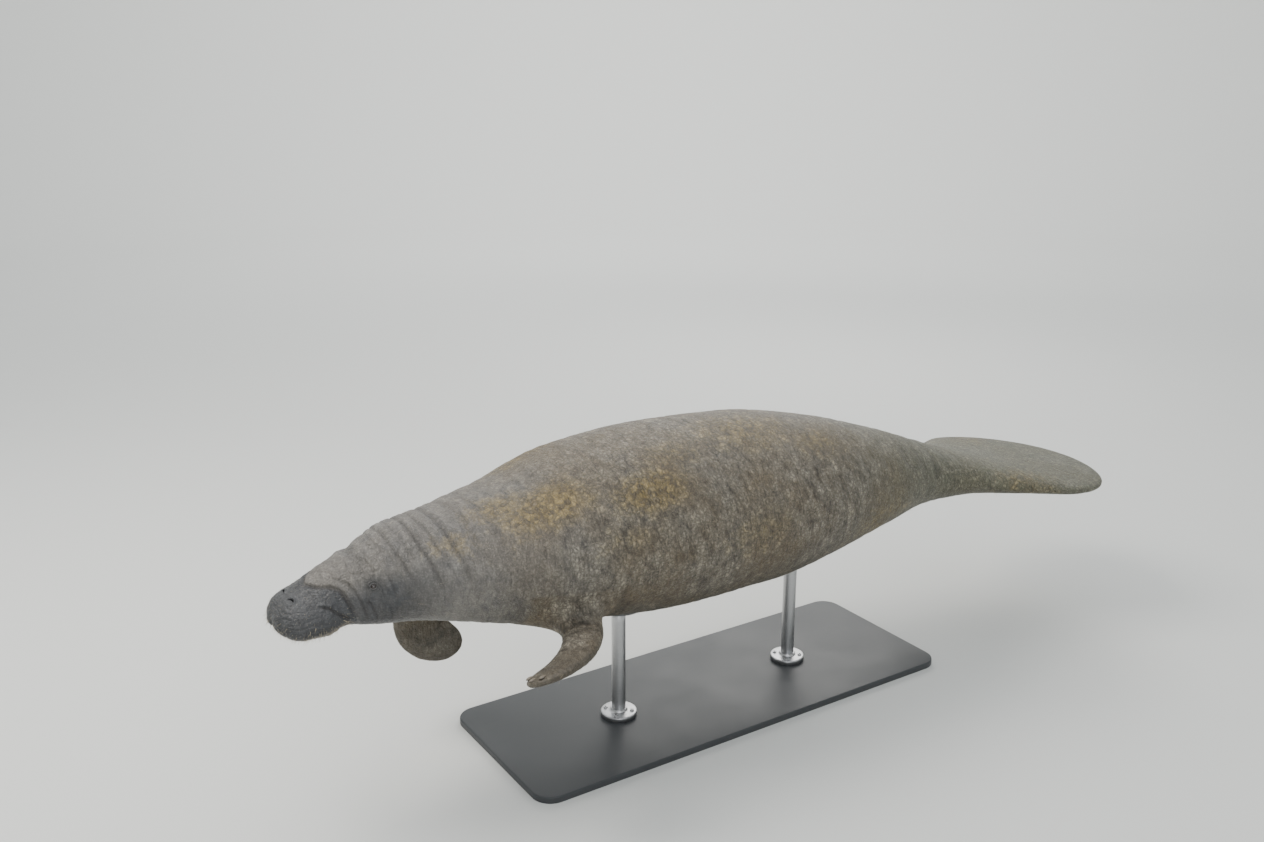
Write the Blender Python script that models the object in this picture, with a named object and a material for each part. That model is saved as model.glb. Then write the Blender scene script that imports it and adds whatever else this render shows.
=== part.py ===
"""Life-size adult manatee, afloat, on a plain display stand.

The body is one smooth hull: oval sections set square to a bent spine. Thin cuts
part it at the mouth, head, neck, trunk and tail. The flippers are bent paddles
that meet the chest, and the eyes and nails sit in sockets.

The animal faces -Y, with its left side to +X and its back to +Z. The origin lies
on the floor, under the middle of the base plate. All sizes are in metres.
"""

import math

import bmesh
import bpy
import numpy as np
from mathutils import Matrix, Vector

BODY_LENGTH = 3.00  # along the spine, snout to tail tip
SPINE_HEIGHT = 0.66  # of the spine over the floor, at the navel
BALANCE_POINT = 1.36  # distance from the snout of the section over the origin
GAP = 0.0003  # between pieces that touch
SPINE_STEPS = 1201  # points along the spine's curve

# Each landmark of the hull: distance from the snout, half width, height over the
# spine, depth under it, droop of the spine towards the snout in degrees, how much
# wider the section is low down, and its squareness, where 2 is an ellipse.
LANDMARKS = {
    "snout": (0.00, 0.095, 0.050, 0.034, 8.0, 0.10, 2.3),
    "lip pads": (0.070, 0.106, 0.062, 0.036, 8.0, 0.11, 2.3),
    "mouth corner": (0.185, 0.114, 0.102, 0.061, 9.0, 0.09, 2.2),
    "eyes": (0.250, 0.129, 0.116, 0.090, 9.0, 0.06, 2.1),
    "nape": (0.35, 0.160, 0.148, 0.124, 8.0, 0.03, 2.0),
    "neck": (0.47, 0.204, 0.144, 0.168, 5.0, 0.03, 2.0),
    "shoulders": (0.62, 0.262, 0.158, 0.210, 1.0, 0.04, 2.0),
    "chest": (0.85, 0.310, 0.236, 0.246, -1.0, 0.05, 2.0),
    "navel": (1.15, 0.335, 0.262, 0.274, -1.0, 0.06, 2.0),
    "flank": (1.45, 0.324, 0.254, 0.270, -2.0, 0.06, 2.0),
    "loin": (1.72, 0.282, 0.214, 0.234, -4.0, 0.04, 2.0),
    "vent": (1.98, 0.218, 0.158, 0.172, -7.0, 0.02, 2.0),
    "tail stock": (2.20, 0.170, 0.108, 0.108, -9.0, 0.00, 2.0),
    "tail root": (2.36, 0.184, 0.075, 0.075, -9.0, 0.00, 2.1),
    "tail middle": (2.52, 0.262, 0.052, 0.052, -8.0, 0.00, 2.3),
    "tail widest": (2.70, 0.340, 0.036, 0.036, -6.0, 0.00, 2.5),
    "tail tip": (3.00, 0.350, 0.024, 0.024, -2.0, 0.00, 2.6),
}
COLUMNS = ("at", "half_width", "height", "depth", "droop", "pear", "squareness")

SNOUT_DOME = 0.074  # length over which the blunt snout rounds off
SNOUT_BLUNTNESS = 2.3
TAIL_ROUNDING = 0.30  # length of the tail's round end

# Soft forms of the face: distance from the snout, angle from the crown, radius of
# the form and how far it swells out. Each is on both sides of the face.
FACE_FORMS = {
    "lip pad": (0.045, 112.0, 0.062, 0.009),
    "lip pad's end": (0.112, 108.0, 0.062, 0.012),
    "nostril cushion": (0.044, 30.0, 0.040, 0.003),
    "nose bridge": (0.100, 0.0, 0.060, 0.004),
    "cheek": (0.225, 104.0, 0.060, 0.006),
    "brow": (0.235, 44.0, 0.040, 0.005),
}
CHIN = (0.112, 0.052, 0.013)  # distance from the snout, radius, swell
CLEFT_AT = 0.012  # of the cleft between the lip pads, from the snout
CLEFT_DEPTH = 0.010
CLEFT_RADIUS = 0.013
CLEFT_LENGTH = 0.042

# Where thin cuts part the hull, by distance from the snout.
MOUTH_FRONT = 0.070
MUZZLE_END = 0.182
HEAD_END = 0.33
NECK_END = 0.535
CHEST_END = 0.95
BELLY_END = 1.45
LOIN_END = 1.95
TAIL_STOCK_END = 2.34
MOUTH_CORNER_ANGLE = 96.0  # from the crown, round to the corner of the mouth
MOUTH_SWEEP = 0.45  # below 1, the mouth line climbs fastest at its front

HEAD_SIDES = 44
TRUNK_SIDES = 36
SNOUT_RINGS = 9
TAIL_TIP_RINGS = 9
HEAD_RING_SPACING = 0.022
TRUNK_RING_SPACING = 0.070

EYE_AT = 0.245
EYE_ANGLE = 64.0  # from the crown
EYE_RADIUS = 0.0105
EYE_PROUD = 0.0010  # how far the eyeball stands out of the socket's rim

# Joints of a flipper: distance out from the midline, distance from the snout,
# height over the spine, breadth of the blade and its thickness.
FLIPPER_JOINTS = {
    "left": {
        "shoulder": (0.125, 0.700, -0.100, 0.180, 0.165),
        "elbow": (0.252, 0.748, -0.156, 0.120, 0.092),
        "wrist": (0.330, 0.710, -0.172, 0.112, 0.062),
        "palm": (0.386, 0.626, -0.188, 0.136, 0.044),
        "tip": (0.406, 0.515, -0.203, 0.142, 0.028),
    },
    "right": {
        "shoulder": (0.125, 0.690, -0.105, 0.215, 0.165),
        "elbow": (0.262, 0.574, -0.222, 0.150, 0.096),
        "wrist": (0.312, 0.516, -0.295, 0.148, 0.064),
        "palm": (0.312, 0.540, -0.368, 0.158, 0.044),
        "tip": (0.272, 0.640, -0.425, 0.156, 0.028),
    },
}
FLIPPER_FACES = {"left": (-0.45, 1.0), "right": (1.0, 0.30)}  # how far out and up each blade's back looks
FLIPPER_ROUNDING = 0.085  # length of the blade's round end
FLIPPER_SIDES = 20
FLIPPER_RINGS = 11
FLIPPER_TIP_RINGS = 5
FLIPPER_SQUARENESS = 2.2

NAIL_PLACES = (-0.195, 0.015, 0.210)  # across the blade, as shares of its breadth
NAIL_BACK_FROM_TIP = (0.026, 0.015, 0.022)
NAIL_BED = 0.40  # of a nail's centre over the blade's middle, by its thickness
NAIL_SIZE = (0.0085, 0.0110, 0.0042)  # half width, half length, half thickness

BASE_LENGTH = 1.50
BASE_WIDTH = 0.56
BASE_THICKNESS = 0.020
BASE_CORNER = 0.060
BASE_EDGE = 0.004
ROD_RADIUS = 0.021
ROD_SPREAD = 0.33  # of each rod from the origin, fore and aft
FOOT_RADIUS = 0.055
FOOT_HEIGHT = 0.016
FOOT_EDGE = 0.005
SADDLE_RADIUS = 0.085
SADDLE_DEPTH = 0.034  # below the belly
SADDLE_RISE = 0.016  # of its rim over the belly's lowest line
SADDLE_PROFILE = ((0.31, 0.00), (0.38, 0.12), (0.80, 0.55), (0.97, 0.85))
STAND_SIDES = 20
CORNER_STEPS = 5

HIDE_MUZZLE = (0.070, 0.072, 0.078)
HIDE_FACE = (0.080, 0.078, 0.076)
HIDE_NECK = (0.085, 0.072, 0.056)
HIDE_TRUNK = (0.105, 0.095, 0.076)
HIDE_REAR = (0.120, 0.115, 0.095)
HIDE_TAIL = (0.085, 0.088, 0.085)
HIDE_FLIPPER = (0.060, 0.062, 0.056)
EYE_DARK = (0.010, 0.008, 0.007)
NAIL_HORN = (0.320, 0.280, 0.210)
BASE_PAINT = (0.050, 0.052, 0.055)
ROD_STEEL = (0.560, 0.560, 0.570)


def clear_scene():
    """Empty the scene of its objects."""
    for item in list(bpy.data.objects):
        bpy.data.objects.remove(item, do_unlink=True)


def finish(name, colour, roughness, metallic=0.0):
    """A plain shading material for one piece."""
    material = bpy.data.materials.new(name + "_finish")
    material.use_nodes = True
    shader = material.node_tree.nodes["Principled BSDF"]
    shader.inputs["Base Color"].default_value = (*colour, 1.0)
    shader.inputs["Roughness"].default_value = roughness
    shader.inputs["Metallic"].default_value = metallic
    return material


def add_object(name, mesh_data, material):
    """Put a closed bmesh into the scene as a smooth, outward-facing object."""
    bmesh.ops.recalc_face_normals(mesh_data, faces=mesh_data.faces)
    mesh = bpy.data.meshes.new(name)
    mesh_data.to_mesh(mesh)
    mesh_data.free()
    mesh.shade_smooth()
    mesh.set_sharp_from_angle(angle=math.radians(40))
    mesh.materials.append(material)
    item = bpy.data.objects.new(name, mesh)
    bpy.context.scene.collection.objects.link(item)
    return item


def add_guide(name, mesh_data):
    """A cutter, kept out of the model itself."""
    guide = add_object(name, mesh_data, finish(name, HIDE_TRUNK, 1.0))
    guide.hide_render = True
    guide.display_type = "WIRE"
    return guide


def cut(item, cutter):
    """Take the cutter's shape out of an object."""
    modifier = item.modifiers.new("cut_" + cutter.name, "BOOLEAN")
    modifier.operation = "DIFFERENCE"
    modifier.solver = "EXACT"
    modifier.object = cutter


def smooth_profile(at, stations, values):
    """A smooth curve through the values at the stations, with no overshoot."""
    step = np.diff(stations)
    slope = np.diff(values) / step
    tangent = np.zeros(len(stations))
    tangent[0], tangent[-1] = slope[0], slope[-1]
    same_way = slope[:-1] * slope[1:] > 0
    lean = 2 * slope[:-1] * slope[1:] / np.where(same_way, slope[:-1] + slope[1:], 1)
    tangent[1:-1] = np.where(same_way, lean, 0)
    at = np.clip(at, stations[0], stations[-1])
    i = np.clip(np.searchsorted(stations, at, side="right") - 1, 0, len(step) - 1)
    t = (at - stations[i]) / step[i]
    return (
        (2 * t**3 - 3 * t**2 + 1) * values[i]
        + (t**3 - 2 * t**2 + t) * step[i] * tangent[i]
        + (3 * t**2 - 2 * t**3) * values[i + 1]
        + (t**3 - t**2) * step[i] * tangent[i + 1]
    )


def landmark(column, at):
    """One of the hull's sizes at a distance from the snout."""
    rows = np.array(list(LANDMARKS.values()))
    return smooth_profile(at, rows[:, 0], rows[:, COLUMNS.index(column)])


def make_spine():
    """Points of the bent spine, evenly spaced, as distance, y and z."""
    at = np.linspace(0.0, BODY_LENGTH, SPINE_STEPS)
    droop = np.radians(landmark("droop", at))
    step = at[1] - at[0]

    def summed(rate):
        return np.concatenate([[0.0], np.cumsum((rate[1:] + rate[:-1]) / 2 * step)])

    y, z = summed(np.cos(droop)), summed(np.sin(droop))
    navel = LANDMARKS["navel"][0]
    y -= np.interp(BALANCE_POINT, at, y)
    z += SPINE_HEIGHT - np.interp(navel, at, z)
    return at, y, z


SPINE = make_spine()


def end_rounding(at):
    """Share of its full section that the hull keeps near the snout and tail tip."""
    snout = np.clip(1 - at / SNOUT_DOME, 0, 1)
    snout = (1 - snout**SNOUT_BLUNTNESS) ** (1 / SNOUT_BLUNTNESS)
    tail = np.clip((at - BODY_LENGTH + TAIL_ROUNDING) / TAIL_ROUNDING, 0, 1)
    return snout, np.sqrt(1 - tail**2)


def bare_hull(at, angle):
    """Points of the hull before the soft forms of the face, angle 0 at the crown."""
    at, angle = np.broadcast_arrays(at, angle)
    power = 2 / landmark("squareness", at)
    side = np.sign(np.sin(angle)) * np.abs(np.sin(angle)) ** power
    rise = np.sign(np.cos(angle)) * np.abs(np.cos(angle)) ** power
    snout, tail = end_rounding(at)
    width = landmark("half_width", at) * snout * tail
    height = np.where(rise > 0, landmark("height", at), landmark("depth", at))
    height = height * snout * np.sqrt(tail)
    x = width * side * (1 - landmark("pear", at) * rise)
    up = height * rise
    droop = np.radians(landmark("droop", at))
    y = np.interp(at, SPINE[0], SPINE[1]) - up * np.sin(droop)
    z = np.interp(at, SPINE[0], SPINE[2]) + up * np.cos(droop)
    return np.stack([x, y, z], axis=-1)


def hull_normals(at, angle):
    """Outward unit normals of the bare hull."""
    nudge = 0.0015
    turn = 0.01
    ahead = np.clip(at - nudge, 1e-5, BODY_LENGTH - 1e-5)
    behind = np.clip(at + nudge, 1e-5, BODY_LENGTH - 1e-5)
    along = bare_hull(behind, angle) - bare_hull(ahead, angle)
    across = bare_hull(at, angle + turn) - bare_hull(at, angle - turn)
    normal = np.cross(across, along)
    length = np.linalg.norm(normal, axis=-1, keepdims=True)
    return normal / np.maximum(length, 1e-12)


def face_relief(points):
    """How far the face swells or sinks at each point of the bare hull."""
    relief = np.zeros(points.shape[:-1])
    for at, angle, radius, swell in FACE_FORMS.values():
        centre = bare_hull(np.array(at), np.radians(angle))
        mirrored = np.abs(points[..., 0]) - centre[0]
        apart = mirrored**2 + ((points[..., 1:] - centre[1:]) ** 2).sum(axis=-1)
        relief += swell * np.exp(-apart / (2 * (radius / 2) ** 2))
    at, radius, swell = CHIN
    centre = bare_hull(np.array(at), math.pi)
    apart = ((points - centre) ** 2).sum(axis=-1)
    relief += swell * np.exp(-apart / (2 * (radius / 2) ** 2))
    split = bare_hull(np.array(CLEFT_AT), math.pi)
    near = points[..., 0] ** 2 / CLEFT_RADIUS**2
    low = ((points[..., 1:] - split[1:]) ** 2).sum(axis=-1) / CLEFT_LENGTH**2
    return relief - CLEFT_DEPTH * np.exp(-near - low)


def hull(at, angle, grow=0.0):
    """Points of the finished hull, swollen by a small allowance if one is given."""
    points = bare_hull(at, angle)
    normals = hull_normals(np.broadcast_to(at, points.shape[:-1]), angle)
    return points + normals * (face_relief(points) + grow)[..., None]


def loft(rings, front_pole=None, back_pole=None):
    """A closed skin over rings of points, ended by flat caps or by poles."""
    made = bmesh.new()
    loops = [[made.verts.new(Vector(p)) for p in ring] for ring in rings]
    count = len(rings[0])
    for near, far in zip(loops, loops[1:]):
        for i in range(count):
            j = (i + 1) % count
            made.faces.new((near[i], near[j], far[j], far[i]))
    for loop, pole in ((loops[0], front_pole), (loops[-1], back_pole)):
        if pole is None:
            made.faces.new(loop)
            continue
        tip = made.verts.new(Vector(pole))
        for i in range(count):
            made.faces.new((loop[i], loop[(i + 1) % count], tip))
    return made


def snout_stations():
    """Ring places over the blunt snout, close together near its front."""
    turn = np.linspace(0, math.pi / 2, SNOUT_RINGS + 1)[1:]
    return SNOUT_DOME * (1 - np.cos(turn))


def tail_stations():
    """Ring places over the tail's round end, close together near its tip."""
    turn = np.linspace(0, math.pi / 2, TAIL_TIP_RINGS + 1)[:-1]
    return BODY_LENGTH - TAIL_ROUNDING + TAIL_ROUNDING * np.sin(turn)


def stations(start, end):
    """Ring places from one cut to the next, with a ring on each cut."""
    spacing = HEAD_RING_SPACING if end <= HEAD_END else TRUNK_RING_SPACING
    count = max(2, round((end - start) / spacing) + 1)
    return np.linspace(start, end, count)


def round_angles(sides, half_open=math.pi):
    """Angles round a section, from one side of the opening to the other."""
    edge = half_open * (1 - 1 / sides) if half_open == math.pi else half_open
    return np.linspace(-edge, edge, sides)


def mouth_angle(at):
    """Angle from the crown at which the mouth line crosses a section."""
    share = np.clip((at - MOUTH_FRONT) / (MUZZLE_END - MOUTH_FRONT), 0, 1)
    corner = math.radians(MOUTH_CORNER_ANGLE)
    return math.pi - (math.pi - corner) * share**MOUTH_SWEEP


def muzzle_places():
    """Ring places of the muzzle: its blunt front, then back to the cut behind it."""
    front = snout_stations()
    rest = stations(SNOUT_DOME, MUZZLE_END - GAP / 2)[1:]
    return np.concatenate([front, rest])


def make_muzzle():
    """Nose, upper lip pads and cheeks, down to the line of the mouth."""
    rings = []
    for at in muzzle_places():
        edge = min(mouth_angle(at), math.pi * (1 - 1 / HEAD_SIDES))
        rings.append(hull(at, np.linspace(-edge, edge, HEAD_SIDES)))
    tip = hull(np.array([1e-4]), np.array([0.0]))[0]
    tip[0] = 0.0
    add_object("muzzle", loft(rings, front_pole=tip), finish("muzzle", HIDE_MUZZLE, 0.5))


def make_lower_jaw():
    """The wedge of chin and lower lip under the line of the mouth."""
    places = [at for at in muzzle_places() if at > MOUTH_FRONT]
    drop = np.array([0.0, 0.0, -2 * GAP])
    rings = []
    for at in places[1:]:
        edge = mouth_angle(at)
        round_chin = np.linspace(edge, 2 * math.pi - edge, HEAD_SIDES // 2)
        rings.append(hull(at, round_chin) + drop)
    tip = hull(np.array([places[0]]), np.array([math.pi]))[0] + drop
    material = finish("lower_jaw", HIDE_MUZZLE, 0.5)
    add_object("lower_jaw", loft(rings, front_pole=tip), material)


def make_length(name, start, end, colour, sides=TRUNK_SIDES):
    """One length of the hull, from cut to cut."""
    places = stations(start, end)
    places[0] += GAP / 2
    places[-1] -= GAP / 2
    angles = round_angles(sides)
    rings = [hull(at, angles) for at in places]
    return add_object(name, loft(rings), finish(name, colour, 0.55))


def make_tail_paddle():
    """The flat round paddle behind the tail stock."""
    flat = stations(TAIL_STOCK_END, BODY_LENGTH - TAIL_ROUNDING)
    flat[0] += GAP / 2
    places = np.concatenate([flat, tail_stations()[1:]])
    angles = round_angles(TRUNK_SIDES)
    rings = [hull(at, angles) for at in places]
    tip = hull(np.array([BODY_LENGTH]), np.array([0.0]))[0]
    tip[0] = 0.0
    material = finish("tail_paddle", HIDE_TAIL, 0.55)
    add_object("tail_paddle", loft(rings, back_pole=tip), material)


def grown_hull(name, start, end):
    """A guide a hair larger than the hull, to cut what meets it."""
    cuts = [start, CHEST_END, BELLY_END, end]
    cuts = [at for at in cuts if start <= at <= end]
    places = [stations(a, b) for a, b in zip(cuts, cuts[1:])]
    places = np.unique(np.concatenate(places).round(6))
    rings = [hull(at, round_angles(TRUNK_SIDES), grow=GAP) for at in places]
    return add_guide(name, loft(rings))


def flipper_joint_points(side):
    """Joints of one flipper as world points, with breadth and thickness."""
    sign = 1 if side == "left" else -1
    rows = []
    for out, at, height, breadth, thickness in FLIPPER_JOINTS[side].values():
        y = np.interp(at, SPINE[0], SPINE[1])
        rows.append((sign * out, y, SPINE_HEIGHT + height, breadth, thickness))
    return np.array(rows)


def flipper_frame(side, share):
    """Centre, forward, blade and face directions, breadth and thickness of a flipper.

    share runs from 0 at the shoulder to 1 at the tip.
    """
    rows = flipper_joint_points(side)
    gaps = np.linalg.norm(np.diff(rows[:, :3], axis=0), axis=1)
    reach = np.concatenate([[0.0], np.cumsum(gaps)])
    length = reach[-1]

    def at(distance):
        return np.array([smooth_profile(distance, reach, column) for column in rows.T])

    here = at(share * length)
    step = 0.004
    ahead = at(min(share * length + step, length))
    back = at(max(share * length - step, 0.0))
    forward = Vector(ahead[:3] - back[:3]).normalized()
    sign = 1 if side == "left" else -1
    outward, upward = FLIPPER_FACES[side]
    face_hint = Vector((sign * outward, 0.0, upward))
    blade = forward.cross(face_hint).normalized()
    face = blade.cross(forward).normalized()
    if face.dot(face_hint) < 0:
        face = -face
    left_over = (1 - share) * length
    into_end = np.clip(1 - left_over / FLIPPER_ROUNDING, 0, 1)
    rounding = math.sqrt(1 - into_end**2)
    breadth = here[3] * rounding
    thickness = here[4] * math.sqrt(rounding)
    return Vector(here[:3]), forward, blade, face, breadth, thickness, length


def flipper_ring(side, share):
    """One section of a flipper as points."""
    centre, _, blade, face, breadth, thickness, _ = flipper_frame(side, share)
    points = []
    for i in range(FLIPPER_SIDES):
        turn = 2 * math.pi * (i + 0.5) / FLIPPER_SIDES
        power = 2 / FLIPPER_SQUARENESS
        across = math.copysign(abs(math.cos(turn)) ** power, math.cos(turn))
        proud = math.copysign(abs(math.sin(turn)) ** power, math.sin(turn))
        points.append(centre + blade * across * breadth / 2 + face * proud * thickness / 2)
    return points


def make_flipper(side, chest_guide):
    """A bent paddle, cut off where it meets the chest, with sockets for its nails."""
    length = flipper_frame(side, 0.0)[-1]
    round_from = 1 - FLIPPER_ROUNDING / length
    turns = np.linspace(0, math.pi / 2, FLIPPER_TIP_RINGS + 1)[1:-1]
    shares = list(np.linspace(0.0, round_from, FLIPPER_RINGS))
    shares += [round_from + (1 - round_from) * math.sin(t) for t in turns]
    rings = [flipper_ring(side, share) for share in shares]
    tip = flipper_frame(side, 1.0)[0]
    name = "flipper_" + side
    item = add_object(name, loft(rings, back_pole=tip), finish(name, HIDE_FLIPPER, 0.5))
    cut(item, chest_guide)
    for number in range(len(NAIL_PLACES)):
        socket = nail_mesh(side, number, GAP)
        cut(item, add_guide(f"socket_{side}_{number + 1}", socket))
    return item


def nail_mesh(side, number, grow=0.0):
    """A small oval nail, bedded in the blade's outer face near its end."""
    length = flipper_frame(side, 0.0)[-1]
    share = 1 - NAIL_BACK_FROM_TIP[number] / length
    centre, forward, blade, face, _, thickness, _ = flipper_frame(side, share)
    breadth = FLIPPER_JOINTS[side]["tip"][3]
    place = centre + blade * NAIL_PLACES[number] * breadth
    place += face * thickness * NAIL_BED
    made = bmesh.new()
    bmesh.ops.create_uvsphere(made, u_segments=8, v_segments=5, radius=1.0)
    size = Matrix.Diagonal([half + grow for half in NAIL_SIZE]).to_4x4()
    turn = Matrix((blade, forward, face)).transposed().to_4x4()
    bmesh.ops.transform(made, matrix=Matrix.Translation(place) @ turn @ size, verts=made.verts)
    return made


def eye_centre(side):
    """Centre of an eyeball, set so that only its front stands proud."""
    angle = math.radians(EYE_ANGLE) * (1 if side == "left" else -1)
    at = np.array([EYE_AT])
    surface = hull(at, np.array([angle]))[0]
    normal = hull_normals(at, np.array([angle]))[0]
    return Vector(surface - normal * (EYE_RADIUS - EYE_PROUD)), Vector(normal)


def eye_mesh(side, grow=0.0):
    """A round eyeball that looks straight out of the head."""
    centre, outward = eye_centre(side)
    made = bmesh.new()
    radius = EYE_RADIUS + grow
    bmesh.ops.create_uvsphere(made, u_segments=14, v_segments=9, radius=radius)
    turn = outward.to_track_quat("Z", "Y").to_matrix().to_4x4()
    bmesh.ops.transform(made, matrix=Matrix.Translation(centre) @ turn, verts=made.verts)
    return made


def make_eyes(head):
    """Both eyeballs, each in a socket cut in the head."""
    for side in ("left", "right"):
        cut(head, add_guide("socket_eye_" + side, eye_mesh(side, GAP)))
        name = "eye_" + side
        add_object(name, eye_mesh(side), finish(name, EYE_DARK, 0.1))


def make_nails():
    """The three nails of each flipper."""
    for side in ("left", "right"):
        for number in range(len(NAIL_PLACES)):
            name = f"nail_{side}_{number + 1}"
            add_object(name, nail_mesh(side, number), finish(name, NAIL_HORN, 0.4))


def rounded_plate(length, width, thickness, corner, edge):
    """A flat plate with round corners and eased upper edges, its top at z 0."""
    outlines = (
        (0.0, -thickness),
        (0.0, -edge),
        (edge * 0.3, -edge * 0.3),
        (edge, 0.0),
    )
    rings = []
    for inset, height in outlines:
        ring = []
        for quarter in range(4):
            along = (1, 1, -1, -1)[quarter] * (length / 2 - corner)
            across = (-1, 1, 1, -1)[quarter] * (width / 2 - corner)
            for step in range(CORNER_STEPS + 1):
                turn = math.pi / 2 * (quarter - 1 + step / CORNER_STEPS)
                reach = corner - inset
                x = across + reach * math.sin(turn)
                y = along + reach * math.cos(turn)
                ring.append((x, y, height))
        rings.append(ring)
    return loft(rings)


def turned(profile, x, y):
    """A turned piece about an upright axis, from (radius, height) pairs."""
    rings = []
    for radius, height in profile:
        ring = []
        for i in range(STAND_SIDES):
            turn = 2 * math.pi * i / STAND_SIDES
            ring.append((x + radius * math.cos(turn), y + radius * math.sin(turn), height))
        rings.append(ring)
    return loft(rings)


def belly_height(y):
    """Height of the underside of the hull on the midline."""
    at = np.interp(y, SPINE[1], SPINE[0])
    return hull(np.array([at]), np.array([math.pi]))[0][2]


def make_stand(trunk_guide):
    """Base plate, and two rods with a foot and a saddle each."""
    plate = rounded_plate(BASE_LENGTH, BASE_WIDTH, BASE_THICKNESS, BASE_CORNER, BASE_EDGE)
    bmesh.ops.translate(plate, verts=plate.verts, vec=(0, 0, BASE_THICKNESS))
    add_object("stand_base", plate, finish("stand_base", BASE_PAINT, 0.45))
    for place, y in (("front", -ROD_SPREAD), ("rear", ROD_SPREAD)):
        make_support(place, y, trunk_guide)


def make_support(place, y, trunk_guide):
    """One rod, standing in a foot on the base, under a saddle that fits the belly."""
    floor = BASE_THICKNESS + GAP
    foot_top = floor + FOOT_HEIGHT
    rim = belly_height(y) + SADDLE_RISE
    bottom = belly_height(y) - SADDLE_DEPTH
    foot = [
        (FOOT_RADIUS, floor),
        (FOOT_RADIUS, foot_top - FOOT_EDGE),
        (FOOT_RADIUS - FOOT_EDGE, foot_top),
    ]
    rod = [(ROD_RADIUS, foot_top + GAP), (ROD_RADIUS, bottom - GAP)]
    saddle = [(SADDLE_RADIUS * r, bottom + SADDLE_DEPTH * h) for r, h in SADDLE_PROFILE]
    saddle.append((SADDLE_RADIUS, rim))
    for part, profile in (("foot", foot), ("rod", rod), ("saddle", saddle)):
        name = f"stand_{part}_{place}"
        material = finish(name, ROD_STEEL, 0.3, metallic=1.0)
        item = add_object(name, turned(profile, 0.0, y), material)
        if part == "saddle":
            cut(item, trunk_guide)


def build():
    """Make every piece of the animal and its stand."""
    clear_scene()
    make_muzzle()
    make_lower_jaw()
    head = make_length("head", MUZZLE_END, HEAD_END, HIDE_FACE, HEAD_SIDES)
    make_eyes(head)
    make_length("neck", HEAD_END, NECK_END, HIDE_NECK)
    make_length("chest", NECK_END, CHEST_END, HIDE_TRUNK)
    make_length("belly", CHEST_END, BELLY_END, HIDE_TRUNK)
    make_length("loin", BELLY_END, LOIN_END, HIDE_REAR)
    make_length("tail_stock", LOIN_END, TAIL_STOCK_END, HIDE_TAIL)
    make_tail_paddle()
    chest_guide = grown_hull("chest_guide", NECK_END, CHEST_END)
    for side in ("left", "right"):
        make_flipper(side, chest_guide)
    make_nails()
    make_stand(grown_hull("trunk_guide", NECK_END, LOIN_END))


build()
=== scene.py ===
"""The looks of a museum's life-size manatee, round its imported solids.

One hide covers every solid of flesh. Eyes, nails, bristles and body hairs are
pieces of their own, and so are the parts of the display stand. The animal faces
-Y with its back to +Z, as the solids do. All sizes are in metres.
"""

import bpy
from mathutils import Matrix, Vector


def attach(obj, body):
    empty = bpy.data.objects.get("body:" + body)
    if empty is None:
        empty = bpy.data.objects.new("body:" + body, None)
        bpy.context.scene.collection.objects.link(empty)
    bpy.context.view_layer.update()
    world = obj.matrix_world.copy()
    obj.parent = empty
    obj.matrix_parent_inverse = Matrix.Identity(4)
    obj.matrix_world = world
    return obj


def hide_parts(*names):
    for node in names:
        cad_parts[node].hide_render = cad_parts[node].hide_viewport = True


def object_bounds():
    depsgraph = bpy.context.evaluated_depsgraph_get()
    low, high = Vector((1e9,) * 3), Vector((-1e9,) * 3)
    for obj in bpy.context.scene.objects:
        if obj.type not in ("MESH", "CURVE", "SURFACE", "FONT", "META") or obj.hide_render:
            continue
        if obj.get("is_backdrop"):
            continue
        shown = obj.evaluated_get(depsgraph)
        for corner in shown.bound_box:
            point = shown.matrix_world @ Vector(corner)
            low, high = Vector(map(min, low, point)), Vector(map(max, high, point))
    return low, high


bl_info = {
    "name": "Manatee display model",
    "version": (1, 0, 0),
    "blender": (4, 5, 0),
    "location": "3D View > Sidebar > Manatee",
    "description": "Makes the hide, eyes, nails, bristles and stand of a life-size manatee",
    "category": "Object",
}

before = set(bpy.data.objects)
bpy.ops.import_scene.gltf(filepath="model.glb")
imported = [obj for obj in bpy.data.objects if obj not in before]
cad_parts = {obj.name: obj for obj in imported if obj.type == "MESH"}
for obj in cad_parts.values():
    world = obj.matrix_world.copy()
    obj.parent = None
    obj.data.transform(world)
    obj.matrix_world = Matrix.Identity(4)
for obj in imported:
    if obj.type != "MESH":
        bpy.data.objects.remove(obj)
CAD_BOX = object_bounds()

import functools
import math

import bmesh
import bpy
import numpy as np
from mathutils import Vector, noise
from mathutils.bvhtree import BVHTree

# The body's form, as in the solids.

BODY_LENGTH = 3.00  # along the spine, snout to tail tip
SPINE_HEIGHT = 0.66
BALANCE_POINT = 1.36
SPINE_STEPS = 1201

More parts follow.
